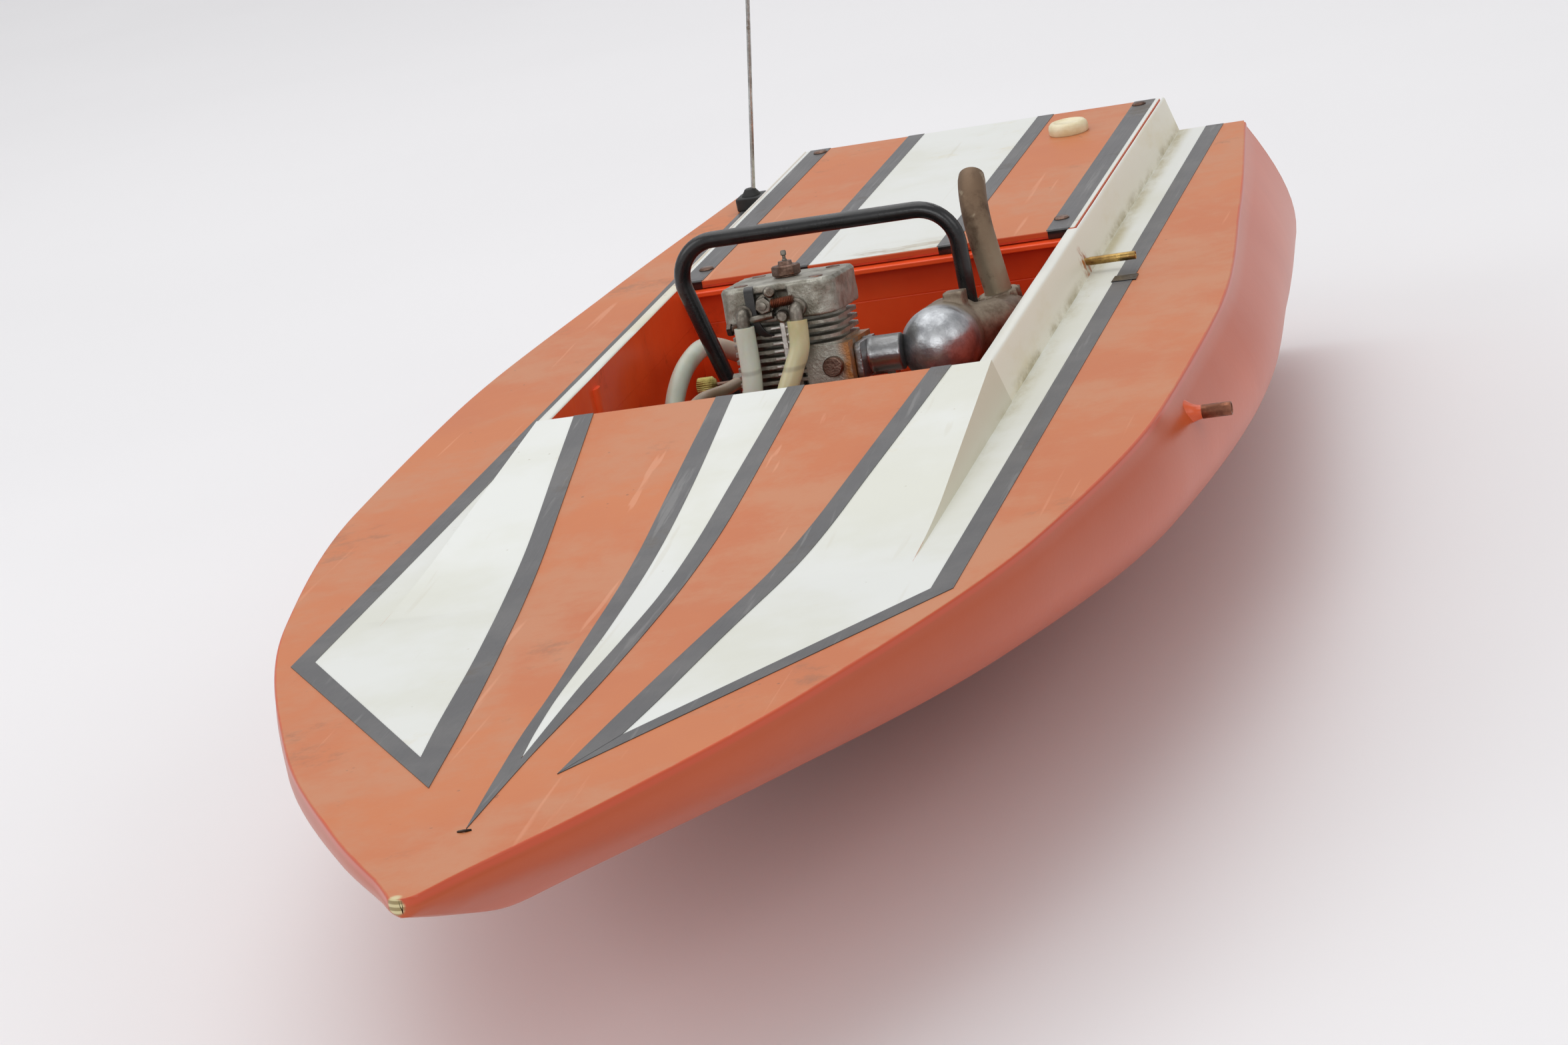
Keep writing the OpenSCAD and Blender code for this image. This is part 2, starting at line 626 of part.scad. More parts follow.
// Two flat cheeks above and below an arm, open so that the arm can swing between them
module flat_fork(x, y, away) {
    end = y - away * 3.5;
    near = y + away * 5.5;
    far = y + away * 9;
    for (z = [arm_z - 1.9, arm_z + arm_t + 0.4])
        block([x - 3, min(end, near), z], [x + 3, max(end, near), z + 1.5]);
    block([x - 3, min(near, far), arm_z - 1.9], [x + 3, max(near, far), arm_z + arm_t + 1.9]);
}
module rudder_rod() color("silver") {
    x = -rudder_x + arm_r;
    flat_fork(x, yb(735), 1);
    flat_fork(x, yb(rudder_s), -1);
    along_y(yb(743), yb(rudder_s - 8), 2.5, x, arm_z + arm_t / 2);
}
module throttle_rod() color("silver") {
    end_s = engine_s + 27 * cos(shaft_tilt) + 12 * sin(shaft_tilt);
    end_z = crank_z + 12 * cos(shaft_tilt) - 27 * sin(shaft_tilt);
    flat_fork(24, yb(640), -1);
    for (x = [20.1, 24.4]) block([x, yb(end_s - 3.5), end_z - 3], [x + 1.5, yb(end_s + 5.5), end_z + 3]);
    block([20.1, yb(end_s + 5.5), end_z - 3], [25.9, yb(end_s + 9), end_z + 3]);
    along_y(yb(end_s + 8), yb(632), 2.5, 24, arm_z + arm_t / 2);
}
module servo(x, s) translate([x, yb(s), 0]) {
    block([-10, -10, 42], [10, 31, 75]);
    block([-10, -15.5, 67.05], [10, -10, 69.5]);
    block([-10, 31, 67.05], [10, 36.5, 69.5]);
    translate([0, 0, 75]) cylinder(d = 12, h = 3);
}
module rudder_servo() color("black") servo(-rudder_x, 735);
module throttle_servo() color("black") servo(24 + arm_r, 640);
module radio_boxes() color("dimgray") {
    translate([-55, yb(655), 67.05]) round_plate(34, 56, 18, 3);
    translate([58, yb(735), 67.05]) round_plate(34, 64, 30, 3);
}
module switch_body() color("black") difference() {
    block([-80, yb(700), 67.05], [-66, yb(726), 79]);
    block([-75.2, yb(706), 75], [-70.8, yb(720), 82]);
}
module switch_slider() color("white") block([-75, yb(708), 76], [-71, yb(713), 82]);

/* ---- Fittings on top ---- */
module roll_bar() color("black") {
    top = deck_h + 45;
    r = 14;
    reach = 37.5;
    lean = 14;
    translate([bar_x, yb(bar_s), 0]) {
        along_x(-reach, reach, bar_d, 0, top);
        translate([reach, 0, top - r]) rotate([90, 0, 0])
            rotate_extrude(angle = 90) translate([r, 0]) circle(d = bar_d);
        translate([reach + r, 0, 62]) cylinder(d = bar_d, h = top - r - 62);
        translate([-reach, 0, top - r]) rotate([0, 0, 180]) rotate([90, 0, 0]) rotate([0, 0, -lean])
            rotate_extrude(angle = 90 + lean) translate([r, 0]) circle(d = bar_d);
        translate([-reach, 0, top - r]) rotate([0, -lean, 0]) translate([-r, 0, -67])
            cylinder(d = bar_d, h = 67.1);
    }
}
module roll_bar_feet() color("firebrick") {
    block([43, yb(bar_s - 8), 58.05], [58, yb(bar_s + 8), 61.9]);
    block([-43.5, yb(bar_s - 8), 58.05], [-30, yb(bar_s + 8), 60.8]);
}
module radio_hatch() color("sandybrown") difference() {
    union() {
        block([-hatch_w / 2, yb(bay_rear - 5), deck_h + rise - hatch_t],
            [hatch_w / 2, yb(799), deck_h + rise]);
        for (x = [-1, 1], s = [bay_rear + 13, 791]) translate([x * 70, yb(s), deck_h + rise])
            cylinder(d = 6, h = 1.2);
    }
    translate([46, yb(754), deck_h + rise - 10]) cylinder(d = 10.1, h = 20);
}
module hatch_cap() color("beige") translate([46, yb(754), 0]) {
    translate([0, 0, deck_h + rise - hatch_t - 2]) cylinder(d = 10, h = hatch_t + 2.1);
    translate([0, 0, deck_h + rise + 0.05]) difference() {
        cylinder(d = 16.5, h = 5);
        translate([0, 0, 4.4]) cylinder(d = 11, h = 1);
    }
}
module aerial_base() color("black") translate([-98, yb(770), deck_h + 0.05]) difference() {
    union() {
        translate([-6, -6, 0]) cube([12, 12, 9]);
        translate([0, 0, 9]) cylinder(d1 = 8, d2 = 4, h = 4);
    }
    rotate([0, 10, 0]) cylinder(d = 2, h = 20);
}
module aerial() color("gray") translate([-98, yb(770), deck_h + 0.05]) rotate([0, 10, 0]) {
    translate([0, 0, 3]) cylinder(d = 1.8, h = aerial_h - 3);
    translate([0, 0, aerial_h]) sphere(d = 3);
}

hull_shell();
transom();
deck();
foredeck_ramp();
coaming_port();
coaming_starboard();
front_bulkhead();
rear_bulkhead();
stern_panel();
hull_frames();
engine_bearers();
radio_tray();
crankcase();
backplate();
finned_cylinder();
cylinder_head();
engine_bolts();
glow_plug();
water_elbows();
hose_in();
hose_out();
carburettor();
exhaust_manifold();
muffler();
exhaust_clamp();
exhaust_pipe();
roll_bar();
roll_bar_feet();
fuel_tank();
fuel_line();
hull_outlet_tube();
outlet_cone();
coaming_tube();
stuffing_tube();
strut();
water_pickup();
rudder_bracket();
radio_boxes();
throttle_servo();
rudder_servo();
switch_body();
aerial_base();
aerial();
crankshaft();
flywheel();
coupling();
prop_shaft();
propeller();
prop_nut();
needle_valve();
throttle_lever();
throttle_rod();
throttle_servo_arm();
rudder();
rudder_arm();
rudder_rod();
rudder_servo_arm();
radio_hatch();
hatch_cap();
switch_slider();
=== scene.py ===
from math import cos, pi, radians, sin, sqrt, tan

import bmesh
import bpy
from mathutils import Matrix, Vector, noise


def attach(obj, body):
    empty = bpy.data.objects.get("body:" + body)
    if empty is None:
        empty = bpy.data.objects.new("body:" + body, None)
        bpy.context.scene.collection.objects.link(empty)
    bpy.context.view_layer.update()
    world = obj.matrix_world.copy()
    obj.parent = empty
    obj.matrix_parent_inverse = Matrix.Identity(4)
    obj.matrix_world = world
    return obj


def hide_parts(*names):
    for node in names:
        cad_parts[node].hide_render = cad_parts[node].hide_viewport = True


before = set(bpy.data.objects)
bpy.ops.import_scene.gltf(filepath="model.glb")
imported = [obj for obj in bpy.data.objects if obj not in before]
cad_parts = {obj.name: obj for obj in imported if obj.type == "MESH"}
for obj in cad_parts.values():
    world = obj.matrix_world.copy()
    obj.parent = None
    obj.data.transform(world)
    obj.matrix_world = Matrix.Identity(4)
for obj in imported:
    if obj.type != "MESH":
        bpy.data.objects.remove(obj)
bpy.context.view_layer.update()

# ---------------------------------------------------------------- dimensions
# Lengths are in millimetres. A place on the boat is (x, s, z): x to port, s the distance from
# the bow, z the height above the keel. The row's origin lies on the keel at s = 700.
MM = 0.001
ORIGIN_S = 700
BEAM = 283
DECK_H = 100
DECK_T = 2.5
SKIN_T = 3
HULL_L = 800
TRANSOM_S = 797  # front face of the transom
RISE = 15
TOP = DECK_H + RISE  # height of the raised part
RAMP_START = 250
RAMP_BLEND = 36  # half the length over which the deck curves up into the ramp
BAY_FRONT = 392
BAY_REAR = 578
FOOT_X = 83.5  # foot of the raised sides
SHOULDER_X = 79.5  # top of the raised sides
BAY_X = 75  # half the width of the bay
OPEN_X = BAY_X + 2.05  # half the width of the opening in the deck
HATCH_S = 573  # front edge of the hatch
HEAD_X, HEAD_Y = -2.5, -2  # centre of the head, from the cylinder's axis
EDGE_R = 0.9  # rounding where the hull side meets the deck
HATCH_W, HATCH_L, HATCH_MID = 156, 226, 686  # width, length, and the middle's distance from the bow
CAP_X, CAP_S = 46, 754
AERIAL_X, AERIAL_S = -98, 770
ENGINE_S, ENGINE_Z, ENGINE_TILT = 455, 70.3, 7  # where cylinder and shaft cross; the bow end is up
NEEDLE = (0, 27, 29.2)  # on the needle's axis, in the engine's frame
BAR_S, BAR_Z, BAR_BEND = 503, 131, 14  # roll bar: the bends' place, height and radius
PIPE_PLACE, PIPE_LEAN, PIPE_BEND = (59.3, 516, 97), 6.5, 24  # exhaust pipe: foot, lean and bend radius
ELBOW_Y = -26.2  # the water fittings ahead of the cylinder's axis
OUTLET_Y = 386 - ORIGIN_S  # place of the tube in the hull's side
BOW_STATIONS = [0.02, 0.15, 0.4, 0.8, 1.4, 2.2, 3.2, 4.5, 6, 8]

# The hull's shape as (distance from the bow, value): share of the half beam at the deck, depth of the
# keel below it, bulge of the side in mm and how far down it sits, reach of the bilge as a share of the
# half beam, and rise of the bottom in degrees
HALF_BEAM = [(0, 0.01), (48, 0.244), (120, 0.53), (240, 0.845), (360, 0.979), (480, 1), (640, 0.915),
             (800, 0.792)]
KEEL_DEPTH = [(0, 5), (60, 28), (140, 46), (240, 68), (360, 87), (480, 97.5), (580, 100), (800, 100)]
SIDE_BULGE = [(0, 1), (140, 5), (360, 14.5), (560, 22), (800, 31)]
SIDE_SHARE = [(0, 0.35), (140, 0.41), (360, 0.41), (560, 0.4), (800, 0.57)]
BILGE_SHARE = [(0, 0.8), (140, 0.84), (360, 1.06), (560, 1.22), (800, 1.15)]
DEADRISE = [(0, 30), (140, 16), (360, 16), (560, 18), (800, 7.5)]


def row(x, s, z):
    """Place on the boat to metres in the row's frame."""
    return Vector((x, s - ORIGIN_S, z)) * MM


# Frames of the tilted engine and of the leaning exhaust pipe
ENGINE = Matrix.Translation(row(0, ENGINE_S, ENGINE_Z)) @ Matrix.Rotation(radians(-ENGINE_TILT), 4, "X")
STACK = Matrix.Translation(row(*PIPE_PLACE)) @ Matrix.Rotation(radians(-PIPE_LEAN), 4, "Y")


def smooth(table, s):
    """Curve through (position, value) pairs that never overshoots them."""

    def secant(i):
        return (table[i + 1][1] - table[i][1]) / (table[i + 1][0] - table[i][0])

    def slope(i):
        if i == 0:
            return secant(0)
        if i == len(table) - 1:
            return secant(i - 1)
        a, b = secant(i - 1), secant(i)
        return 0 if a * b <= 0 else 2 / (1 / a + 1 / b)

    i = 0
    while i < len(table) - 2 and s >= table[i + 1][0]:
        i += 1
    h = table[i + 1][0] - table[i][0]
    u = (s - table[i][0]) / h
    return (
        (2 * u**3 - 3 * u**2 + 1) * table[i][1]
        + (u**3 - 2 * u**2 + u) * h * slope(i)
        + (3 * u**2 - 2 * u**3) * table[i + 1][1]
        + (u**3 - u**2) * h * slope(i + 1)
    )


def deck_x(s, inset=0.0):
    """Half the beam at the deck."""
    w = smooth(HALF_BEAM, s) * BEAM / 2
    if s < 14:  # the bow's tip is rounded
        w = min(w + 1.6 * (1 - s / 14), sqrt(9 * s) + 0.15)
    return max(w - inset, 0.3 * w)


def half_section(s, inset=0.0, steps=26):
    """Port half of the hull's section, from the deck down to the keel, as (x, z)."""
    w = deck_x(s, inset)
    keel = smooth(KEEL_DEPTH, s)
    top = DECK_H - DECK_T
    depth = max(keel - DECK_T - inset * 1.1, 0.3 * keel)
    flat = min(5, 0.4 * w)
    reach = smooth(BILGE_SHARE, s) * w
    bulge = smooth(SIDE_BULGE, s) * min(1, w / 6)
    rise = (reach - flat) * tan(radians(smooth(DEADRISE, s)))
    p = [
        Vector((w, top)),
        Vector((w + bulge, top - smooth(SIDE_SHARE, s) * depth)),
        Vector((reach, top - depth + rise)),
        Vector((flat, top - depth)),
    ]
    points = []
    for i in range(steps + 1):
        u = i / steps
        v = 1 - u
        points.append(v**3 * p[0] + 3 * v * v * u * p[1] + 3 * v * u * u * p[2] + u**3 * p[3])
    return points


def top_z(x, s):
    """Height of the painted top: deck, ramp and the sloping sides of the raised part."""
    run = min(max(s - RAMP_START, 0), BAY_FRONT - RAMP_START)
    if abs(s - RAMP_START) < RAMP_BLEND:
        run = (s - RAMP_START + RAMP_BLEND) ** 2 / (4 * RAMP_BLEND)
    ramp = run / (BAY_FRONT - RAMP_START)
    side = min(max((FOOT_X - abs(x)) / (FOOT_X - SHOULDER_X), 0), 1)
    return DECK_H + RISE * min(ramp, side)


# ---------------------------------------------------------------- materials
def rgb(r, g, b):
    """Display colour, 0 to 255, to a linear one."""
    shares = (c / 255 for c in (r, g, b))
    return tuple(((c + 0.055) / 1.055) ** 2.4 if c > 0.04 else c / 12.92 for c in shares) + (1.0,)


class Shader:
    """One procedural material, written as short calls that return sockets."""

    def __init__(self, name, roughness=0.5, metallic=0.0, **inputs):
        self.material = bpy.data.materials.new(name)
        self.material.use_nodes = True
        self.tree = self.material.node_tree
        self.tree.nodes.clear()
        output = self.tree.nodes.new("ShaderNodeOutputMaterial")
        self.bsdf = self.tree.nodes.new("ShaderNodeBsdfPrincipled")
        self.tree.links.new(self.bsdf.outputs[0], output.inputs[0])
        self.bsdf.inputs["Roughness"].default_value = roughness
        self.bsdf.inputs["Metallic"].default_value = metallic
        for key, value in inputs.items():
            self.bsdf.inputs[key.replace("_", " ")].default_value = value
        self.coordinates = self.tree.nodes.new("ShaderNodeTexCoord")
        self.geometry = self.tree.nodes.new("ShaderNodeNewGeometry")
        self.x, self.y, self.z = self.split(self.coordinates.outputs["Object"])
        self.facing = self.split(self.geometry.outputs["Normal"])

    def node(self, kind, settings=None):
        n = self.tree.nodes.new(kind)
        for key, value in (settings or {}).items():
            setattr(n, key, value)
        return n

    def feed(self, socket, value):
        if isinstance(value, bpy.types.NodeSocket):
            self.tree.links.new(value, socket)
        else:
            socket.default_value = value

    def split(self, vector):
        n = self.node("ShaderNodeSeparateXYZ")
        self.tree.links.new(vector, n.inputs[0])
        return n.outputs

    def math(self, operation, a, b=0.0):
        n = self.node("ShaderNodeMath", {"operation": operation})
        self.feed(n.inputs[0], a)
        self.feed(n.inputs[1], b)
        return n.outputs[0]

    def step(self, value, low, high):
        """0 below low, 1 above high, smooth between. Swap the two for the reverse."""
        n = self.node("ShaderNodeMapRange", {"interpolation_type": "SMOOTHSTEP", "clamp": True})
        a, b, start, end = (low, high, 0.0, 1.0) if low < high else (high, low, 1.0, 0.0)
        for i, v in enumerate((value, a, b, start, end)):
            self.feed(n.inputs[i], v)
        return n.outputs[0]

    def both(self, *masks):
        result = masks[0]
        for m in masks[1:]:
            result = self.math("MULTIPLY", result, m)
        return result

    def near(self, point, radius, soft):
        """1 close to a point of the row's frame, in metres, 0 beyond the radius."""
        n = self.node("ShaderNodeVectorMath", {"operation": "DISTANCE"})
        self.tree.links.new(self.coordinates.outputs["Object"], n.inputs[0])
        n.inputs[1].default_value = tuple(point)
        return self.step(n.outputs["Value"], radius + soft, radius)

    def texture(self, kind, location, values, scale=(1, 1, 1), turn=0.0):
        """Texture node on the object's coordinates, moved, turned and stretched."""
        mapping = self.node("ShaderNodeMapping")
        self.tree.links.new(self.coordinates.outputs["Object"], mapping.inputs[0])
        mapping.inputs["Location"].default_value = location
        mapping.inputs["Rotation"].default_value = (0, 0, turn)
        mapping.inputs["Scale"].default_value = scale
        n = self.node(kind)
        self.tree.links.new(mapping.outputs[0], n.inputs["Vector"])
        for key, value in values.items():
            n.inputs[key].default_value = value
        return n.outputs

    def noise(self, scale, detail=4.0, roughness=0.55, stretch=(1, 1, 1), shift=0.0, distortion=0.0):
        values = {"Scale": scale, "Detail": detail, "Roughness": roughness, "Distortion": distortion}
        return self.texture("ShaderNodeTexNoise", (shift, shift * 1.7, shift * 0.6), values, stretch)[0]

    def blotch(self, low, high, *settings, **more):
        """Noise cut off softly between two levels."""
        return self.step(self.noise(*settings, **more), low, high)

    def cells(self, scale, shift=0.0):
        return self.texture("ShaderNodeTexVoronoi", (shift, shift, shift), {"Scale": scale})["Distance"]

    def scratches(self, scale, angle, shift=0.0):
        """Thin long marks along one direction of the deck plane."""
        values = {"Scale": scale, "Detail": 2.0}
        marks = self.texture("ShaderNodeTexNoise", (shift, shift, 0), values, (1, 0.045, 1), angle)[0]
        return self.step(marks, 0.69, 0.74)

    def mix(self, mask, a, b):
        n = self.node("ShaderNodeMix", {"data_type": "RGBA"})
        for i, value in ((0, mask), (6, a), (7, b)):
            self.feed(n.inputs[i], value)
        return n.outputs[2]

    def over(self, below, mask, strength, colour):
        """Lays a colour over another where the mask is, up to the given strength."""
        return self.mix(self.math("MULTIPLY", mask, strength), below, colour)

    def plus(self, a, b, share):
        """a with a share of b added."""
        return self.math("ADD", a, self.math("MULTIPLY", b, share))

    def blend(self, mask, a, b):
        n = self.node("ShaderNodeMix", {"data_type": "FLOAT"})
        for i, value in ((0, mask), (2, a), (3, b)):
            self.feed(n.inputs[i], value)
        return n.outputs[0]

    def colour(self, value):
        self.feed(self.bsdf.inputs["Base Color"], value)

    def rough(self, value):
        self.feed(self.bsdf.inputs["Roughness"], value)

    def bump(self, height, distance, strength=1.0):
        n = self.node("ShaderNodeBump")
        n.inputs["Strength"].default_value = strength
        n.inputs["Distance"].default_value = distance
        self.feed(n.inputs["Height"], height)
        self.tree.links.new(n.outputs[0], self.bsdf.inputs["Normal"])


def orange_paint(name, base, dark, dust_and_sheen):
    m = Shader(name, 0.36)
    up = m.step(m.facing[2], 0.75, 0.95)
    patches = m.noise(7, 5, 0.6)
    c = m.mix(m.step(patches, 0.38, 0.68), base, dark)
    # Up-facing faces are lightened in blotches: dust, and painted sheen of the bright surroundings on the
    # flat tops
    c = m.mix(m.both(up, m.blotch(0.42, 0.62, 16, 6, 0.7, shift=3)), c, dust_and_sheen)
    smudge = m.both(up, m.blotch(0.60, 0.72, 13, 7, 0.75, shift=8))
    c = m.over(c, smudge, 0.55, rgb(132, 84, 52))
    specks = m.both(up, m.step(m.cells(150, 2), 0.10, 0.05), m.blotch(0.55, 0.62, 24, 2, shift=5))
    c = m.over(c, specks, 0.6, rgb(98, 62, 40))
    marks = m.math("MAXIMUM", m.scratches(150, 0.9), m.scratches(190, -0.5, 4))
    c = m.over(c, m.both(up, marks), 0.35, rgb(226, 160, 125))
    # Just below the deck's edge the side is painted a darker, redder brown: painted shade, where the upper
    # side reflects darker surroundings
    side = m.step(m.facing[2], 0.8, 0.4)
    painted_shade_band = m.both(side, m.step(m.z, 0.070, 0.090), m.step(m.y, 0.0, -0.45))
    c = m.over(c, painted_shade_band, 0.65, rgb(168, 72, 30))
    # A redder line along the edge itself is a painted highlight
    edge = m.both(m.step(m.z, 0.0972, 0.0984), m.step(m.facing[2], 0.93, 0.6))
    c = m.over(c, edge, 0.75, rgb(196, 74, 42))
    # The chipped tip of the bow shows layers of wood
    chip = m.near(row(-1.5, 1, 98), 0.0020, 0.0010)
    layer = m.step(m.math("SINE", m.math("MULTIPLY", m.z, 3600.0)), -0.3, 0.5)
    c = m.mix(chip, c, m.mix(layer, rgb(150, 132, 88), rgb(206, 192, 146)))
    m.colour(c)
    m.rough(m.blend(m.math("MAXIMUM", smudge, up), 0.30, 0.47))
    fine = m.noise(420, 3, 0.5)
    wide = m.noise(26, 2, 0.5, shift=2)
    m.bump(m.plus(wide, fine, 0.12), 0.0007, 0.30)
    return m.material


def white_enamel():
    m = Shader("white_enamel", 0.33)
    c = m.mix(m.blotch(0.42, 0.66, 9, 5, 0.6), rgb(224, 226, 222), rgb(215, 216, 205))
    # Faces turned to the side get a darker cream: partly yellowed enamel, partly painted shade
    slope = m.step(m.math("ABSOLUTE", m.facing[0]), 0.35, 0.7)
    c = m.over(c, slope, 0.8, rgb(208, 202, 178))
    side = m.math("ABSOLUTE", m.x)
    corner = m.both(m.step(side, 0.0828, 0.0840), m.step(side, 0.0905, 0.0850), m.step(m.y, -0.44, -0.33))
    grime = m.math("MULTIPLY", corner, m.blotch(0.36, 0.66, 34, 6, 0.7, stretch=(1, 0.35, 1)))
    c = m.over(c, grime, 0.85, rgb(172, 160, 118))
    stain = m.blotch(0.61, 0.75, 20, 6, 0.7, shift=6)
    c = m.over(c, stain, 0.5, rgb(206, 192, 148))
    # Scuffed front edge of the hatch
    edge = m.both(m.step(m.y, -0.104, -0.125), m.step(m.y, -0.18, -0.15), m.step(m.z, 0.1135, 0.1145))
    scuff = m.both(edge, m.blotch(0.50, 0.64, 46, 6, 0.7, stretch=(0.4, 1.4, 1), shift=11))
    c = m.over(c, scuff, 0.75, rgb(158, 136, 98))
    specks = m.both(m.step(m.cells(210, 1), 0.11, 0.05), m.blotch(0.56, 0.63, 30, 2, shift=4))
    c = m.over(c, specks, 0.5, rgb(150, 138, 108))
    marks = m.math("MAXIMUM", m.scratches(170, 0.35, 2), m.scratches(150, 1.2, 6))
    c = m.over(c, marks, 0.25, rgb(196, 190, 170))
    m.colour(c)
    m.rough(m.blend(grime, 0.32, 0.6))
    m.bump(m.plus(m.noise(40, 3), m.noise(500, 2), 0.08), 0.0006, 0.25)
    return m.material


def coaming_cream():
    m = Shader("coaming_cream", 0.36)
    # The side faces get a lighter, yellower cream than the tops: yellowed enamel, and painted light that
    # makes up for the shade on the sides
    up = m.step(m.facing[2], 0.4, 0.8)
    c = m.mix(up, rgb(233, 229, 212), rgb(226, 226, 218))
    yellow = m.blotch(0.50, 0.72, 22, 6, 0.65, stretch=(1, 0.3, 1))
    c = m.over(c, yellow, 0.55, rgb(212, 196, 142))
    foot = m.both(m.step(m.z, 0.1045, 0.1004), m.blotch(0.42, 0.62, 60, 5, 0.7, stretch=(1, 0.4, 1)))
    c = m.over(c, foot, 0.8, rgb(158, 144, 100))
    rust = m.both(m.near(row(82.5, 558, 103.5), 0.0045, 0.004), m.blotch(0.38, 0.6, 240, 4))
    c = m.mix(rust, c, rgb(170, 96, 34))
    chips = m.both(up, m.step(m.cells(120, 3), 0.12, 0.07), m.blotch(0.55, 0.62, 40, 2))
    c = m.over(c, chips, 0.7, rgb(120, 112, 96))
    m.colour(c)
    m.bump(m.plus(m.noise(55, 4), m.noise(400, 2), 0.1), 0.0008, 0.35)
    return m.material


def grey_tape():
    m = Shader("grey_tape", 0.4)
    c = m.mix(m.blotch(0.40, 0.65, 30, 5, 0.65), rgb(64, 64, 66), rgb(80, 79, 79))
    # Lighter streaks along the tape: painted highlights on its wrinkles
    wrinkle_highlights = m.blotch(0.60, 0.68, 60, 4, 0.6, stretch=(4.5, 0.22, 1), shift=2)
    c = m.over(c, wrinkle_highlights, 0.5, rgb(120, 119, 118))
    dirt = m.blotch(0.58, 0.72, 18, 6, 0.7, shift=9)
    c = m.over(c, dirt, 0.5, rgb(98, 84, 66))
    m.colour(c)
    m.rough(m.blend(dirt, 0.34, 0.55))
    m.bump(m.noise(70, 4, 0.6, stretch=(5, 0.25, 1)), 0.0006, 0.5)
    return m.material


def black_tape():
    m = Shader("black_tape", 0.22)
    m.colour(m.mix(m.blotch(0.4, 0.7, 90, 4), rgb(22, 22, 24), rgb(46, 45, 44)))
    m.bump(m.noise(160, 3), 0.0006, 0.4)
    return m.material


def bay_enamel():
    m = Shader("bay_enamel", 0.34)
    c = m.mix(m.blotch(0.38, 0.68, 10, 5, 0.6), rgb(246, 92, 40), rgb(232, 74, 28))
    # Darker red in blotches low down in the bay: painted shade
    low = m.step(m.z, 0.085, 0.045)
    c = m.mix(m.both(low, m.blotch(0.35, 0.65, 18, 5)), c, rgb(112, 26, 12))
    oil = m.blotch(0.58, 0.74, 26, 6, 0.7, shift=5)
    c = m.over(c, oil, 0.6, rgb(96, 30, 14))
    worn = m.blotch(0.66, 0.74, 60, 5, 0.7, stretch=(1, 1, 0.4), shift=7)
    c = m.over(c, worn, 0.35, rgb(216, 120, 84))
    m.colour(c)
    m.rough(m.blend(oil, 0.32, 0.46))
    m.bump(m.plus(m.noise(32, 4, stretch=(1, 1, 0.5)), m.noise(260, 3), 0.15), 0.0012, 0.4)
    return m.material


def metal(name, light, dark, roughness, grain=300, oxide=None, stretch=(1, 1, 1), polish=0.12, depth=0.0004):
    """Worn bare metal: mottled colour, uneven gloss and a fine rough skin."""
    m = Shader(name, roughness, 1.0)
    patches = m.noise(grain * 0.22, 6, 0.7, stretch)
    c = m.mix(m.step(patches, 0.36, 0.66), light, dark)
    if oxide:
        c = m.over(c, m.blotch(0.56, 0.70, grain * 0.3, 6, 0.75, shift=4), 0.8, oxide)
    m.colour(c)
    m.rough(m.blend(m.step(patches, 0.35, 0.7), max(roughness - polish, 0.08), min(roughness + polish, 1)))
    m.bump(m.plus(m.noise(grain, 5, 0.65, stretch), m.noise(grain * 3.4, 2), 0.35), depth, 0.45)
    return m.material


def cast_grey():
    """Sand-cast alloy with grime and a varnish stain along the fins on the port side."""
    m = Shader("cast_grey", 0.5, 0.75)
    c = m.mix(m.blotch(0.36, 0.66, 85, 6, 0.7), rgb(176, 174, 164), rgb(120, 116, 104))
    pits = m.step(m.cells(720), 0.20, 0.07)
    c = m.over(c, pits, 0.5, rgb(84, 78, 68))
    soot = m.blotch(0.58, 0.72, 52, 6, 0.75, shift=3)
    c = m.over(c, soot, 0.6, rgb(96, 78, 60))
    fins = m.both(m.step(m.z, 0.1195, 0.1175), m.step(m.z, 0.100, 0.104), m.step(m.x, 0.0150, 0.0195))
    varnish = m.both(fins, m.blotch(0.36, 0.58, 130, 4, 0.6, shift=6))
    c = m.over(c, varnish, 0.85, rgb(186, 116, 40))
    m.colour(c)
    m.rough(m.blend(soot, 0.42, 0.7))
    m.bump(m.plus(m.noise(380, 5, 0.7), m.noise(1300, 2), 0.4), 0.0005, 0.5)
    return m.material


def muffler_skin():
    """Polished in front, brown and matt towards the exhaust."""
    m = Shader("muffler_skin", 0.3, 0.9)
    hot = m.step(m.plus(m.y, m.noise(60, 4), 0.008), -0.2275, -0.2195)
    clean = m.mix(m.blotch(0.38, 0.66, 90, 6, 0.7), rgb(196, 199, 202), rgb(150, 152, 156))
    burnt = m.mix(m.blotch(0.38, 0.66, 70, 6, 0.7, shift=2), rgb(150, 138, 122), rgb(104, 88, 74))
    rust = m.blotch(0.60, 0.72, 120, 5, 0.7, shift=5)
    burnt = m.over(burnt, rust, 0.6, rgb(112, 60, 34))
    m.colour(m.mix(hot, clean, burnt))
    m.rough(m.blend(hot, 0.36, 0.58))
    m.bump(m.plus(m.noise(260, 5, 0.6), m.noise(900, 3), 0.5), 0.0004, 0.4)
    return m.material


def pipe_skin():
    m = Shader("pipe_skin", 0.55, 0.6)
    heat = m.step(m.z, 0.110, 0.145)
    c = m.mix(heat, rgb(158, 146, 124), rgb(120, 98, 78))
    c = m.mix(m.blotch(0.50, 0.70, 70, 6, 0.7), c, rgb(92, 72, 56))
    c = m.over(c, m.blotch(0.60, 0.70, 150, 5, shift=3), 0.6, rgb(176, 162, 138))
    m.colour(c)
    m.bump(m.noise(420, 4, 0.6), 0.0004, 0.4)
    return m.material


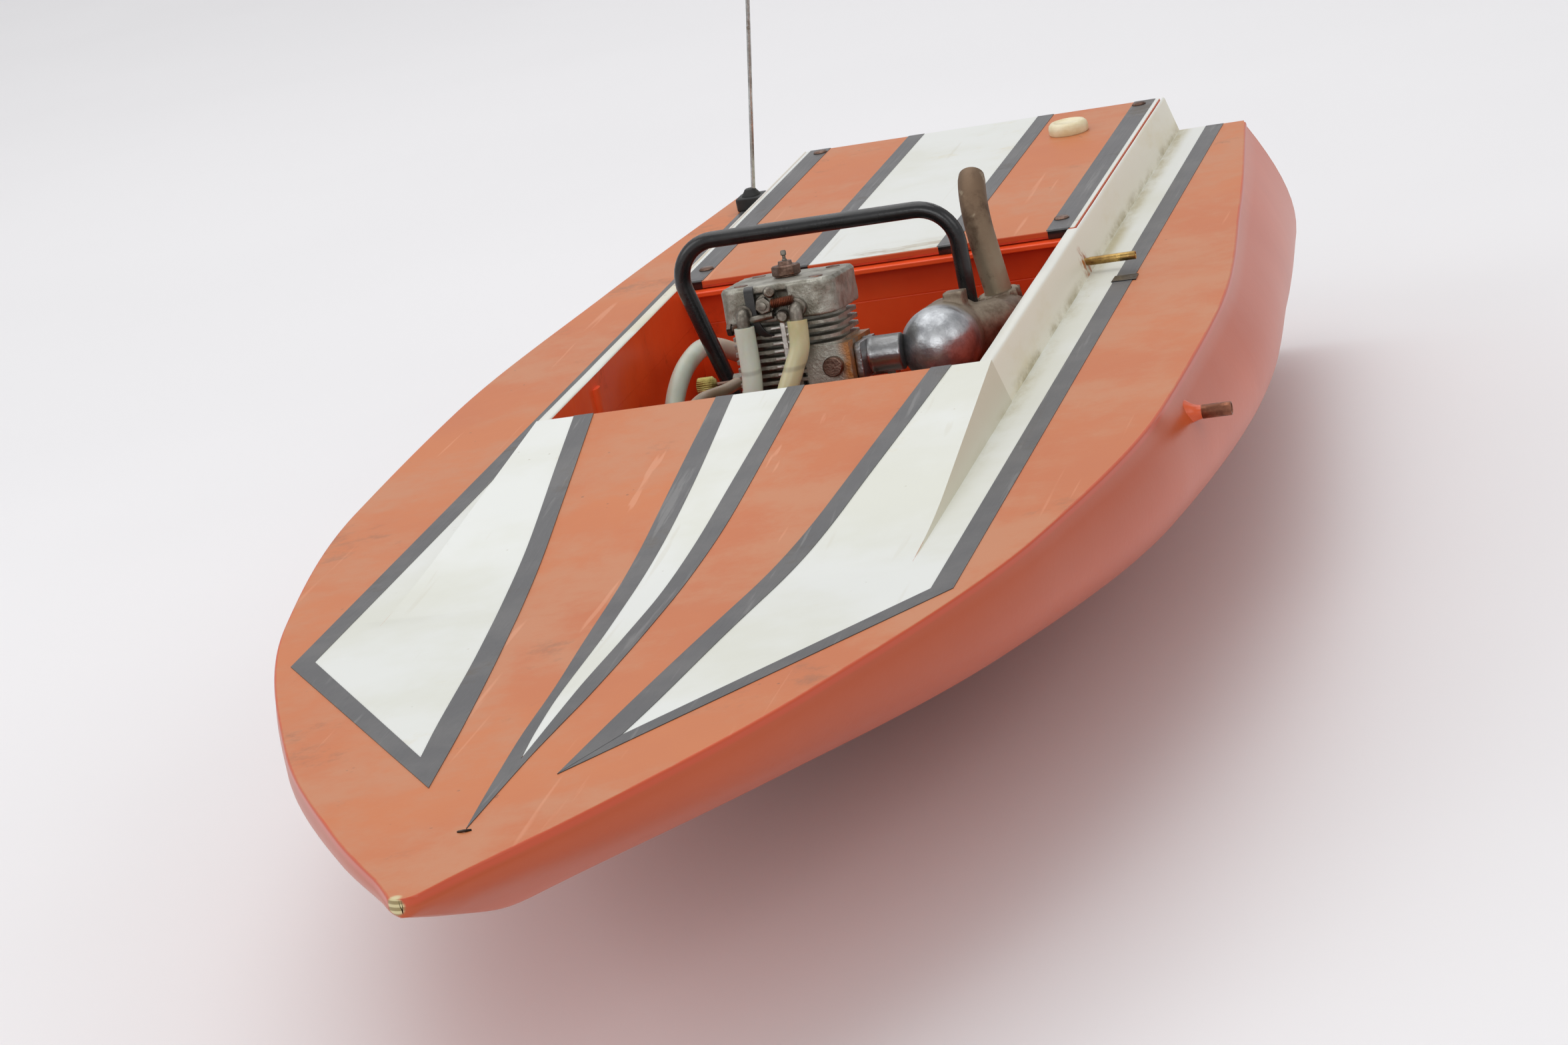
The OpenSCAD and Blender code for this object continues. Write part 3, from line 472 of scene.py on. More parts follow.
def rubber(name, base, spots, roughness, coat=0.0):
    m = Shader(name, roughness, 0.0, Coat_Weight=coat, Coat_Roughness=0.15)
    m.colour(m.mix(m.blotch(0.45, 0.70, 60, 5, 0.65), base, spots))
    m.rough(m.blend(m.blotch(0.4, 0.7, 80, 4, shift=3), roughness * 0.8, min(roughness * 1.3, 1)))
    m.bump(m.noise(500, 3), 0.0003, 0.3)
    return m.material


def hose(name, base, aged, tint_low):
    """Cloudy silicone that yellows with age."""
    m = Shader(name, 0.34, 0.0, Subsurface_Weight=0.35, Subsurface_Scale=0.004, Transmission_Weight=0.12)
    c = m.mix(m.blotch(0.40, 0.66, 45, 5, 0.6, stretch=(1, 1, 0.5)), base, aged)
    c = m.over(c, m.step(m.z, 0.112, 0.092), 0.6, tint_low)
    rings = m.both(m.step(m.z, 0.1105, 0.1115), m.step(m.z, 0.1130, 0.1120))
    c = m.over(c, rings, 0.35, rgb(112, 108, 92))
    m.colour(c)
    m.bump(m.noise(220, 3), 0.0003, 0.3)
    return m.material


def plastic(name, base, variation, roughness, grain=600):
    m = Shader(name, roughness)
    m.colour(m.mix(m.blotch(0.40, 0.68, 70, 5, 0.65), base, variation))
    m.rough(m.blend(m.blotch(0.4, 0.7, 40, 4, shift=2), roughness * 0.85, min(roughness * 1.25, 1)))
    m.bump(m.noise(grain, 3), 0.0003, 0.3)
    return m.material


def plywood():
    m = Shader("plywood", 0.5)
    grain = m.noise(60, 6, 0.65, stretch=(6, 0.5, 1), distortion=0.6)
    c = m.mix(m.step(grain, 0.36, 0.66), rgb(206, 172, 122), rgb(168, 126, 80))
    c = m.over(c, m.blotch(0.55, 0.72, 12, 5, shift=4), 0.6, rgb(124, 88, 56))
    m.colour(c)
    m.bump(grain, 0.0005, 0.4)
    return m.material


def backdrop():
    m = Shader("backdrop", 0.42, 0.0, Specular_IOR_Level=0.3)
    m.colour(m.mix(m.blotch(0.35, 0.7, 1.5, 3), rgb(236, 235, 237), rgb(233, 232, 234)))
    m.bump(m.noise(300, 3), 0.0003, 0.15)
    return m.material


HULL_ORANGE = orange_paint("hull_orange", rgb(204, 89, 45), rgb(194, 81, 39), rgb(193, 121, 77))
# The deck's copy of the same orange paint has a paler, yellower base than the hull's: painted sheen of the
# bright surroundings on the flat deck
SHEENED_DECK_ORANGE = orange_paint("deck_orange_painted_sheen", rgb(198, 110, 50), rgb(192, 102, 46), rgb(193, 121, 77))
WHITE = white_enamel()
CREAM = coaming_cream()
TAPE = grey_tape()
BLACK_TAPE = black_tape()
BAY_RED = bay_enamel()
CAST = cast_grey()
MUFFLER = muffler_skin()
PIPE = pipe_skin()
POLISHED = metal("polished_alloy", rgb(166, 167, 169), rgb(118, 117, 116), 0.42, 260, rgb(120, 104, 88),
                 (0.3, 1, 1))
STEEL = metal("turned_steel", rgb(196, 196, 194), rgb(150, 148, 144), 0.26, 500, rgb(120, 100, 80))
DARK_STEEL = metal("dark_steel", rgb(92, 84, 78), rgb(56, 48, 44), 0.45, 500, rgb(96, 58, 38))
BROWN_STEEL = metal("brown_steel", rgb(128, 104, 92), rgb(84, 62, 52), 0.42, 600, rgb(140, 74, 44))
BRASS = metal("old_brass", rgb(190, 158, 96), rgb(138, 108, 62), 0.34, 420, rgb(96, 76, 52))
KNOB_BRASS = metal("knob_brass", rgb(196, 184, 118), rgb(158, 142, 82), 0.36, 500, rgb(112, 96, 60))
COPPER = metal("old_copper", rgb(176, 118, 92), rgb(116, 76, 60), 0.40, 420, rgb(84, 60, 52))
COMB_ALLOY = metal("comb_alloy", rgb(212, 210, 204), rgb(176, 172, 164), 0.42, 500, rgb(150, 138, 120))
DULL_ALLOY = metal("dull_alloy", rgb(150, 144, 134), rgb(98, 92, 84), 0.45, 420, rgb(88, 66, 46))
BLACK_TUBE = rubber("black_tube", rgb(20, 21, 23), rgb(34, 34, 35), 0.3, 0.15)
BLACK_RUBBER = rubber("black_rubber", rgb(28, 28, 28), rgb(46, 45, 43), 0.6)
HOSE_WHITE = hose("hose_white", rgb(214, 218, 204), rgb(196, 198, 178), rgb(196, 206, 190))
HOSE_YELLOW = hose("hose_yellow", rgb(218, 210, 170), rgb(196, 184, 130), rgb(204, 184, 118))
HOSE_GREY = hose("hose_grey", rgb(176, 160, 138), rgb(150, 132, 108), rgb(150, 126, 100))
TANK = plastic("tank_plastic", rgb(226, 226, 214), rgb(214, 206, 178), 0.4)
BLACK_PLASTIC = plastic("black_plastic", rgb(30, 30, 31), rgb(44, 43, 42), 0.42)
WHITE_PLASTIC = plastic("white_plastic", rgb(232, 232, 228), rgb(220, 218, 206), 0.4)
CREAM_PLASTIC = plastic("cream_plastic", rgb(232, 222, 190), rgb(216, 200, 158), 0.42)
BOX_GREY = plastic("box_grey", rgb(92, 94, 96), rgb(76, 76, 76), 0.5)
PLYWOOD = plywood()
CONE_ORANGE = plastic("cone_orange", rgb(214, 88, 40), rgb(180, 66, 34), 0.34, 300)
RED_EDGE = plastic("red_edge", rgb(198, 62, 30), rgb(150, 60, 34), 0.35, 300)


# ---------------------------------------------------------------- mesh building
class Shape:
    """Closed surfaces collected into one mesh. Points are in metres in the row's frame."""

    def __init__(self, matrix=None):
        self.verts = []
        self.faces = []
        self.tags = []
        self.matrix = matrix

    def add(self, points, faces=()):
        base = len(self.verts)
        self.verts += [self.matrix @ p for p in points] if self.matrix else points
        self.faces += [[base + i for i in f] for f in faces]
        self.tags += [0] * len(faces)

    def loft(self, rings, caps=True, tags=None, closed=True):
        """Skin through rings with the same number of points; tags gives one material per segment."""
        n = len(rings[0])
        points = [p for ring in rings for p in ring]
        base = len(self.verts)
        self.add(points)
        for j in range(len(rings) - 1):
            for i in range(n if closed else n - 1):
                k = (i + 1) % n
                a, b = base + j * n, base + (j + 1) * n
                self.faces.append([a + i, a + k, b + k, b + i])
                self.tags.append(tags[i] if tags else 0)
        if caps:
            for start, order in ((base, range(n)), (base + (len(rings) - 1) * n, reversed(range(n)))):
                self.faces.append([start + i for i in order])
                self.tags.append(0)
        return self

    def lathe(self, profile, place=(0, 0, 0), axis=(0, 0, 1), steps=48, caps=True, wave=None, start=0.0):
        """Turns (radius, height) pairs round an axis. A third value scales a wave added to the radius."""
        turn = Vector((0, 0, 1)).rotation_difference(Vector(axis)).to_matrix()
        rings = []
        for r, h, *teeth in profile:
            ring = []
            for i in range(steps):
                a = start + 2 * pi * i / steps
                k = r + teeth[0] * wave(a) if teeth else r
                ring.append((turn @ Vector((k * cos(a), k * sin(a), h)) + Vector(place)) * MM)
            rings.append(ring)
        return self.loft(rings, caps)

    def tube(self, path, radius, bore=None, sides=24):
        """Round tube along a path of points in metres; radius may be a number or one per point."""
        count = len(path)
        radii = radius if isinstance(radius, list) else [radius] * count
        directions = [(path[min(i + 1, count - 1)] - path[max(i - 1, 0)]).normalized() for i in range(count)]
        side = directions[0].orthogonal().normalized()
        outer, inner = [], []
        for p, d, r in zip(path, directions, radii):
            side = (side - d * side.dot(d)).normalized()
            up = d.cross(side)
            turns = [2 * pi * k / sides for k in range(sides)]
            around = [side * cos(a) + up * sin(a) for a in turns]
            outer.append([p + v * r * MM for v in around])
            if bore:
                inner.append([p + v * bore * MM for v in around])
        if not bore:
            return self.loft(outer)
        rings = outer + inner[::-1]
        return self.loft(rings + [rings[0]], caps=False)

    def box(self, lo, hi):
        corners = [Vector((x, y, z)) for z in (lo[2], hi[2]) for y in (lo[1], hi[1]) for x in (lo[0], hi[0])]
        sides = [[0, 2, 3, 1], [4, 5, 7, 6], [0, 1, 5, 4], [2, 6, 7, 3], [0, 4, 6, 2], [1, 3, 7, 5]]
        self.add(corners, sides)
        return self

    def prism(self, outline, z0, z1):
        """Outline of (x, y) points in mm, raised from z0 to z1."""
        return self.loft([[Vector((x, y, z)) * MM for x, y in outline] for z in (z0, z1)])


def rounded_outline(w, l, r, centre=(0, 0), steps=8):
    points = []
    for cx, cy, a0 in ((1, 1, 0), (-1, 1, 90), (-1, -1, 180), (1, -1, 270)):
        for i in range(steps + 1):
            a = radians(a0 + 90 * i / steps)
            x, y = cx * (w / 2 - r) + r * cos(a), cy * (l / 2 - r) + r * sin(a)
            points.append((centre[0] + x, centre[1] + y))
    return points


def piece(name, shape, materials, slot, body="hull", replaces=(), bevel=0.0, sharp=38):
    """Turns a shape into an object that rides on a CAD body."""
    materials = materials if isinstance(materials, (list, tuple)) else [materials]
    mesh = bpy.data.meshes.new(name)
    mesh.from_pydata(shape.verts, [], shape.faces)
    for m in materials:
        mesh.materials.append(m)
    mesh.polygons.foreach_set("material_index", shape.tags)
    bm = bmesh.new()
    bm.from_mesh(mesh)
    bmesh.ops.remove_doubles(bm, verts=bm.verts, dist=1e-7)
    bmesh.ops.recalc_face_normals(bm, faces=bm.faces)
    bm.to_mesh(mesh)
    bm.free()
    mesh.shade_smooth()
    mesh.set_sharp_from_angle(angle=radians(sharp))
    obj = bpy.data.objects.new(name, mesh)
    bpy.context.scene.collection.objects.link(obj)
    if bevel:
        b = obj.modifiers.new("edges", "BEVEL")
        b.width = bevel * MM
        b.segments = 3
        b.limit_method = "ANGLE"
        b.angle_limit = radians(40)
        b.harden_normals = True
        b.use_clamp_overlap = True
    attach(obj, body)
    if replaces:
        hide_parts(*replaces)
    return obj


def cast(obj, voxel, passes, rough=0.0, seed=0.0):
    """Melts an object's overlapping solids into one skin with soft inner corners, as in a casting."""
    obj.modifiers.clear()
    remesh = obj.modifiers.new("melt", "REMESH")
    remesh.mode = "VOXEL"
    remesh.voxel_size = voxel * MM
    remesh.use_smooth_shade = True
    soften = obj.modifiers.new("soften", "SMOOTH")
    soften.factor = 0.5
    soften.iterations = passes
    bpy.context.view_layer.update()
    evaluated = obj.evaluated_get(bpy.context.evaluated_depsgraph_get())
    mesh = bpy.data.meshes.new_from_object(evaluated)
    obj.modifiers.clear()
    lumps = [v.normal * noise.noise(v.co * 260 + Vector((seed, seed, seed))) for v in mesh.vertices]
    for v, lump in zip(mesh.vertices, lumps):
        v.co += lump * rough * MM
    materials = list(obj.data.materials)
    obj.data = mesh
    mesh.materials.clear()
    for m in materials:
        mesh.materials.append(m)
    mesh.shade_smooth()


def curve_through(points, steps=8):
    """Smooth path through points, as in the CAD routes."""
    path = []
    for i in range(len(points) - 1):
        a, b = points[max(i - 1, 0)], points[i]
        c, d = points[i + 1], points[min(i + 2, len(points) - 1)]
        for k in range(steps):
            u = k / steps
            bend = (2 * a - 5 * b + 4 * c - d) * u**2 + (3 * b - a - 3 * c + d) * u**3
            path.append(0.5 * (2 * b + (c - a) * u + bend))
    return path + [points[-1]]


def dress(material, *nodes):
    """Gives kept CAD nodes their material."""
    for n in nodes:
        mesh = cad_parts[n].data
        mesh.materials.clear()
        mesh.materials.append(material)


# ---------------------------------------------------------------- hull and deck
def stations(s0, s1, step):
    count = max(1, round((s1 - s0) / step))
    return [s0 + (s1 - s0) * i / count for i in range(count + 1)]


def hull_skin():
    rings = []
    for s in BOW_STATIONS + stations(11, TRANSOM_S, 5):
        w = deck_x(s)
        r = min(EDGE_R, 0.35 * w)
        edge = [
            (w - r + r * sin(radians(a)), DECK_H - r + r * cos(radians(a)))
            for a in (0, 22, 45, 68, 90)
        ]
        outer = edge + [tuple(p) for p in half_section(s)]
        inner = [tuple(p) for p in half_section(s, SKIN_T, 12)]
        loop = outer + [(-x, z) for x, z in reversed(outer)]
        loop += [(-x, z) for x, z in inner] + list(reversed(inner))
        rings.append([row(x, s, z) for x, z in loop])
    n = len(outer)
    tags = [0] * (2 * n - 1) + [1] * (2 * len(inner) + 1)
    shape = Shape().loft(rings, tags=tags)
    piece("hull_skin", shape, [HULL_ORANGE, BAY_RED], "hull_paint", replaces=("hull_shell",), sharp=50)

    half = [(deck_x(HULL_L), DECK_H - DECK_T)] + [tuple(p) for p in half_section(HULL_L)][1:]
    outline = half + [(-x, z) for x, z in reversed(half)]
    shape = Shape().loft([[row(x, s, z) for x, z in outline] for s in (TRANSOM_S, HULL_L)])
    piece("transom_plate", shape, HULL_ORANGE, "hull_paint", replaces=("transom",), bevel=0.7, sharp=50)


def deck_skin():
    shape = Shape()

    def strip(s_list, inner, outer):
        rings = []
        for s in s_list:
            xs = [inner(s) + (outer(s) - inner(s)) * i / 10 for i in range(11)]
            rings.append([row(x, s, DECK_H) for x in xs] + [row(x, s, DECK_H - DECK_T) for x in reversed(xs)])
        shape.loft(rings)

    def rim(s):
        return deck_x(s) - min(EDGE_R, 0.35 * deck_x(s))

    strip(BOW_STATIONS + stations(11, 380, 5), lambda s: -rim(s), rim)
    strip(stations(380, HULL_L, 5), lambda s: OPEN_X, rim)
    strip(stations(380, HULL_L, 5), lambda s: -rim(s), lambda s: -OPEN_X)
    strip([790, HULL_L], lambda s: -OPEN_X, lambda s: OPEN_X)
    piece("deck_skin", shape, SHEENED_DECK_ORANGE, "deck_paint", replaces=("deck",), sharp=50)


def ramp_skin():
    rings = []
    for s in stations(RAMP_START - RAMP_BLEND, BAY_FRONT, 6):
        top = top_z(0, s)
        share = (top - DECK_H) / RISE
        crease = FOOT_X - (FOOT_X - SHOULDER_X) * share
        soft = 0.9 * share
        outer = [
            (FOOT_X, DECK_H - 0.1),
            (crease + 0.26 * soft, top - soft),
            (crease - 0.2 * soft, top - 0.35 * soft),
            (crease - soft, top),
        ]
        below = max(top - 2.5, DECK_H - 0.05)
        inner = [(crease - 3.2, below), (FOOT_X - 2.6, DECK_H - 0.1)]
        loop = outer + [(-x, z) for x, z in reversed(outer)] + [(-x, z) for x, z in reversed(inner)] + inner
        rings.append([row(x, s, z) for x, z in loop])
    tags = [0] * 8 + [1] * 4
    shape = Shape().loft(rings, tags=tags)
    piece("ramp_skin", shape, [SHEENED_DECK_ORANGE, BAY_RED], "deck_paint", replaces=("foredeck_ramp",), sharp=30)


def coaming(side):
    rings = []
    for s in stations(BAY_FRONT, HATCH_S - 1.5, 8) + [HATCH_S - 1.4] + stations(HATCH_S - 1, HULL_L, 8):
        hatch = s > HATCH_S - 1.45
        ledge = 78.3 if hatch else BAY_X
        low = TOP - 3.3 if hatch else TOP
        outline = [
            (FOOT_X, DECK_H - 0.1),
            (SHOULDER_X + 0.35, TOP - 1.3),
            (SHOULDER_X + 0.1, TOP - 0.5),
            (SHOULDER_X - 0.5, TOP),
            (ledge + 0.5, TOP),
            (ledge, TOP - 0.5),
            (ledge, low - 0.51),
            (BAY_X, low - 0.55),
            (BAY_X, DECK_H - DECK_T),
            (BAY_X + 2, DECK_H - DECK_T),
        ]
        wave = 0.18 * noise.noise(Vector((side * 3, s * 0.03, 0)))
        outline[3:6] = [(x, z + min(wave, 0)) for x, z in outline[3:6]]
        rings.append([row(side * x, s, z) for x, z in outline])
    name = "port" if side > 0 else "starboard"
    shape = Shape().loft(rings, tags=[0, 0, 0, 0, 0, 1, 1, 1, 1, 1])
    rings = []
    for s in stations(BAY_FRONT + (10 if side > 0 else 0), BAY_REAR - 0.05, 8):
        bow = 0.25 * noise.noise(Vector((side * 5, s * 0.02, 1)))
        rings.append([row(side * (BAY_X + x + max(bow, 0) * (z < 97)), s, z) for x, z in
                      ((0, 97.45), (0, 80), (0, 60.6), (0.4, 60), (2, 60), (2, 97.45))])
    shape.loft(rings, tags=[1] * 6)
    piece(f"coaming_{name}_skin", shape, [CREAM, BAY_RED], "white_paint", replaces=(f"coaming_{name}",),
          sharp=60)


def lay(name, columns, lift, material, slot, body="hull", surface=top_z):
    """Thin layer between edges given as (x, s) points, a little proud of the surface below it."""
    shape = Shape()
    rings = []
    for places in zip(*columns):
        top = [row(x, s, surface(x, s) + lift) for x, s in places]
        rings.append(top + [row(x, s, surface(x, s) - 0.05) for x, s in reversed(places)])
    shape.loft(rings)
    piece(name, shape, material, slot, body, sharp=20)


# Edges of the stripes as (s, x): the panel beside the ramp, and the middle stripe, which narrows
# to a point a little to port
INNER_WHITE = [(102.5, 28.6), (125, 31.8), (178, 38.2), (240, 46.8), (292, 53), (348, 60.4), (392, 66)]
INNER_ORANGE = [(77.5, 18), (119.5, 22.8), (175, 30.2), (237, 39.2), (291, 46.2), (345, 53), (392, 59)]
MIDDLE = {
    1: ([(44, 3.4), (92, 5.5), (111, 6.9), (141, 9.3), (184, 11.4), (243, 12.9), (300, 14.6), (392, 15.5)],
        [(94, 3.4), (143, 3.9), (186, 5.6), (220, 6.6), (256, 7.0), (392, 9.5)]),
    -1: ([(44, 3.3), (64, 1.4), (84, -0.3), (114, -2.5), (145, -3.8), (190, -6.8), (226, -8.9), (280, -11.4),
          (344, -13.9), (392, -15.5)],
         [(94, 3.1), (113, 1.1), (144, -0.8), (188, -1.5), (223, -2.9), (256, -3.8), (309, -5.2),
          (392, -9.5)]),
}


def edge_line(points, count=24):
    """Straight-sided outline through (x, s) corners, with the same number of points on each side."""
    line = []
    for (x0, s0), (x1, s1) in zip(points, points[1:]):
        line += [(x0 + (x1 - x0) * i / count, s0 + (s1 - s0) * i / count) for i in range(count)]
    return line + [points[-1]]


def stripes():
    for side, name in ((1, "port"), (-1, "starboard")):

        def flip(points):
            return [(side * x, s) for x, s in points]

        # White panel over the foredeck and the ramp's outer part
        s_list = sorted(set(stations(103, RAMP_START, 4) + stations(RAMP_START, BAY_FRONT, 4)))
        inner = [(smooth(INNER_WHITE, s) - 1.5, s) for s in s_list]
        outer = [(min(28.6 + 65.9 * (s - 102.5) / 96.5 + 1.5, 96), s) for s in s_list]
        columns = [inner]
        for ratio in (1, 0):
            line = []
            for (x0, s), (x1, _) in zip(inner, outer):
                share = max((top_z(0, s) - DECK_H) / RISE, 0.06)
                x = FOOT_X + 0.2 * (1 - ratio) - (FOOT_X - SHOULDER_X) * share * ratio
                line.append((min(max(x, x0 + 0.3 * (2 - ratio)), x1 - 0.3 * (1 + ratio)), s))
            columns.append(line)
        columns.append(outer)
        lay(f"white_panel_{name}", [flip(c) for c in columns], 0.07, WHITE, "deck_paint")
        aft = stations(BAY_FRONT, 799.6, 8)
        edges = [flip([(x, s) for s in aft]) for x in (FOOT_X - 0.2, 96)]
        lay(f"white_side_{name}", edges, 0.07, WHITE, "deck_paint", surface=lambda x, s: DECK_H)
        # Tape round the panel's outside, mitred at the corner
        outside = edge_line([(18, 77.5), (101.5, 197), (102.5, 799.6)])
        inside = edge_line([(28.6, 102.5), (94.5, 199), (95, 799.6)])
        lay(f"tape_outer_{name}", [flip(outside), flip(inside)], 0.24, TAPE, "deck_paint")
        # Tape along the panel's inside, up the ramp
        whole = stations(0, 1, 0.0125)
        start_o, start_w, end = 77.5, 102.5, BAY_FRONT
        near_o = [start_o + (end - start_o) * u for u in whole]
        near_w = [start_w + (end - start_w) * u for u in whole]
        edges = [
            flip([(smooth(INNER_ORANGE, s), s) for s in near_o]),
            flip([(smooth(INNER_WHITE, s), s) for s in near_w]),
        ]
        lay(f"tape_inner_{name}", edges, 0.30, TAPE, "deck_paint", surface=lambda x, s: top_z(0, s))
        # Tape down the side of the middle stripe
        outer, inner = MIDDLE[side]
        s_list = stations(44, BAY_FRONT, 4)
        edges = [
            [(smooth(outer, s), s) for s in s_list],
            [(smooth(inner, s) if s > 94 else 3.35, s) for s in s_list],
        ]
        lay(f"tape_middle_{name}", edges, 0.24 if side > 0 else 0.20, TAPE, "deck_paint")
    s_list = stations(95, BAY_FRONT, 4)
    left = [(smooth(MIDDLE[-1][1], s) - 0.8, s) for s in s_list]
    right = [(smooth(MIDDLE[1][1], s) + 0.8, s) for s in s_list]
    lay("white_middle", [left, right], 0.07, WHITE, "deck_paint")
    # A dark patch on the port stripe beside the drain tube, and a pin at the middle stripe's tip
    edges = [edge_line([(94.2, 540), (94.4, 548)], 4), edge_line([(103.4, 539.5), (103.2, 547.5)], 4)]
    lay("dark_stripe_patch", edges, 0.5, BLACK_TAPE, "deck_paint")
    pin = Shape().tube([row(1.6, 42.2, 100.1), row(3.4, 41.6, 100.5), row(5.2, 42.6, 100.1)], 0.35, sides=12)
    piece("stripe_pin", pin, DARK_STEEL, "dark_steel")


hull_skin()
deck_skin()
ramp_skin()
coaming(1)
coaming(-1)
stripes()


# ---------------------------------------------------------------- hatch and bulkheads
def hatch():
    shape = Shape().prism(rounded_outline(HATCH_W, HATCH_L, 1.2, (0, HATCH_MID - ORIGIN_S)), 112, TOP)
    piece("hatch_board", shape, SHEENED_DECK_ORANGE, "deck_paint", "hatch", ("radio_hatch",), bevel=0.5)
    bands = [
        ("white", -25.6, 25.6, 0.07, WHITE),
        ("edge_port", 75.5, 77.7, 0.07, WHITE),
        ("edge_starboard", -77.7, -75.5, 0.07, WHITE),
        ("tape_a", 25, 32, 0.22, TAPE),
        ("tape_b", -32, -25, 0.22, TAPE),
        ("tape_c", 67, 76, 0.22, TAPE),
        ("tape_d", -76, -67, 0.22, TAPE),
    ]
    s_list = stations(HATCH_S + 0.4, 798.6, 12)
    for name, x0, x1, lift, material in bands:
        edges = [[(x, s) for s in s_list] for x in (x0, x1)]
        lay(f"hatch_{name}", edges, lift, material, "deck_paint", "hatch", lambda x, s: TOP)
    # Tape turned down over the hatch's ends
    for i, (x0, x1) in enumerate(((25.5, 32.5), (67.5, 75.5), (-32.5, -25.5), (-75.5, -67.5))):
        shape = Shape()
        over = [(577.5, TOP + 0.25), (573.3, TOP + 0.28), (572.75, TOP - 0.2), (572.7, 112.2)]
        rings = []
        for x in (x0, x0 + 0.15, x1 - 0.15, x1):
            line = [row(x, s, z) for s, z in over]
            back = [row(x, s + 0.15, z - 0.24) for s, z in reversed(over)]
            rings.append(line + back)
        shape.loft(rings)
        piece(f"hatch_tape_end_{i}", shape, BLACK_TAPE, "deck_paint", "hatch")
    red = Shape().box(row(-77.6, 572.82, 112.3), row(77.6, 573.1, 113.1))
    piece("hatch_red_line", red, RED_EDGE, "deck_paint", "hatch")
    for i, (x, s) in enumerate(((70, 591), (-70, 591), (70, 791), (-70, 791))):
        profile = [(0.01, 0.2), (2.9, 0.2), (3.0, 0.45), (2.4, 1.0), (0.01, 1.2)]
        screw = Shape().lathe([(r, TOP + h) for r, h in profile], (x, s - ORIGIN_S, 0))
        piece(f"hatch_screw_{i}", screw, BROWN_STEEL, "dark_steel", "hatch", bevel=0.1)
    stem = [(0.01, 110), (4.9, 110), (5, 110.4)]
    rim = [(5, 0), (7.9, 0), (8.25, 0.6), (8.25, 2.6), (7.9, 3.9), (7.0, 4.8), (6.0, 5.0), (5.5, 4.75),
           (5.1, 4.45), (0.01, 4.4)]
    profile = stem + [(r, TOP + 0.05 + h) for r, h in rim]
    piece("cream_cap", Shape().lathe(profile, (CAP_X, CAP_S - ORIGIN_S, 0), steps=64),
          CREAM_PLASTIC, "cream_plastic", "cap", ("hatch_cap",))


def bulkheads():
    shape = Shape()
    half = [(p[0] - 0.3, p[1]) for p in half_section(579, SKIN_T, 20)]
    half[0] = (half[0][0], 97.2)
    outline = half + [(-x, z) for x, z in reversed(half)]
    shape.loft([[row(x, s, z) for x, z in outline] for s in (578, 581)])
    shape.box(row(-74.7, 578, 97), row(74.7, 581, 111))
    shape.box(row(-74.7, 568, 109.7), row(74.7, 584, 111.7))
    piece("rear_bulkhead_board", shape, BAY_RED, "bay_paint", replaces=("rear_bulkhead",), bevel=0.5)
    shape = Shape().box(row(-74.7, TRANSOM_S, 100.05), row(74.7, HULL_L, 111.7))
    piece("stern_board", shape, SHEENED_DECK_ORANGE, "hull_paint", replaces=("stern_panel",), bevel=0.5)
    # Rib on the starboard wall of the bay
    outline = rounded_outline(5, 7, 2.4, (-BAY_X - 1, 446 - ORIGIN_S))
    shape = Shape().loft([[Vector((x, y, z)) * MM for x, y in outline] for z in (62, 109, 110.5)])
    piece("bay_rib", shape, BAY_RED, "bay_paint", sharp=50)


hatch()
bulkheads()


# ---------------------------------------------------------------- engine
def head():
    shape = Shape(ENGINE)
    centre = (HEAD_X, HEAD_Y)
    # The front face has a slot that fittings stand in
    outline = rounded_outline(41, 40, 7, centre)
    index = next(i for i, p in enumerate(outline) if p[0] < -15.9 and abs(p[1] + 22) < 0.01)
    slot = [(-11, -22), (-10.6, -17.5), (1.6, -17.5), (2, -22)]
    shape.prism(outline[: index + 1] + slot + outline[index + 1 :], 54.3, 66)
    shape.prism(rounded_outline(39.6, 38.6, 6.6, centre), 64.3, 66.9)
    shape.prism(rounded_outline(38.6, 37.6, 6.4, centre), 54, 56)
    obj = piece("engine_head", shape, CAST, "cast_aluminium", replaces=("cylinder_head",))
    cast(obj, 0.4, 6, 0.22, 2.0)


def hexagon(shape, r, z0, z1, place, axis=(0, 0, 1), chamfer=0.5):
    profile = [(0.86 * r, z0), (r, z0 + chamfer), (r, z1 - chamfer), (0.86 * r, z1)]
    shape.lathe(profile, place, axis, 6, start=radians(15))


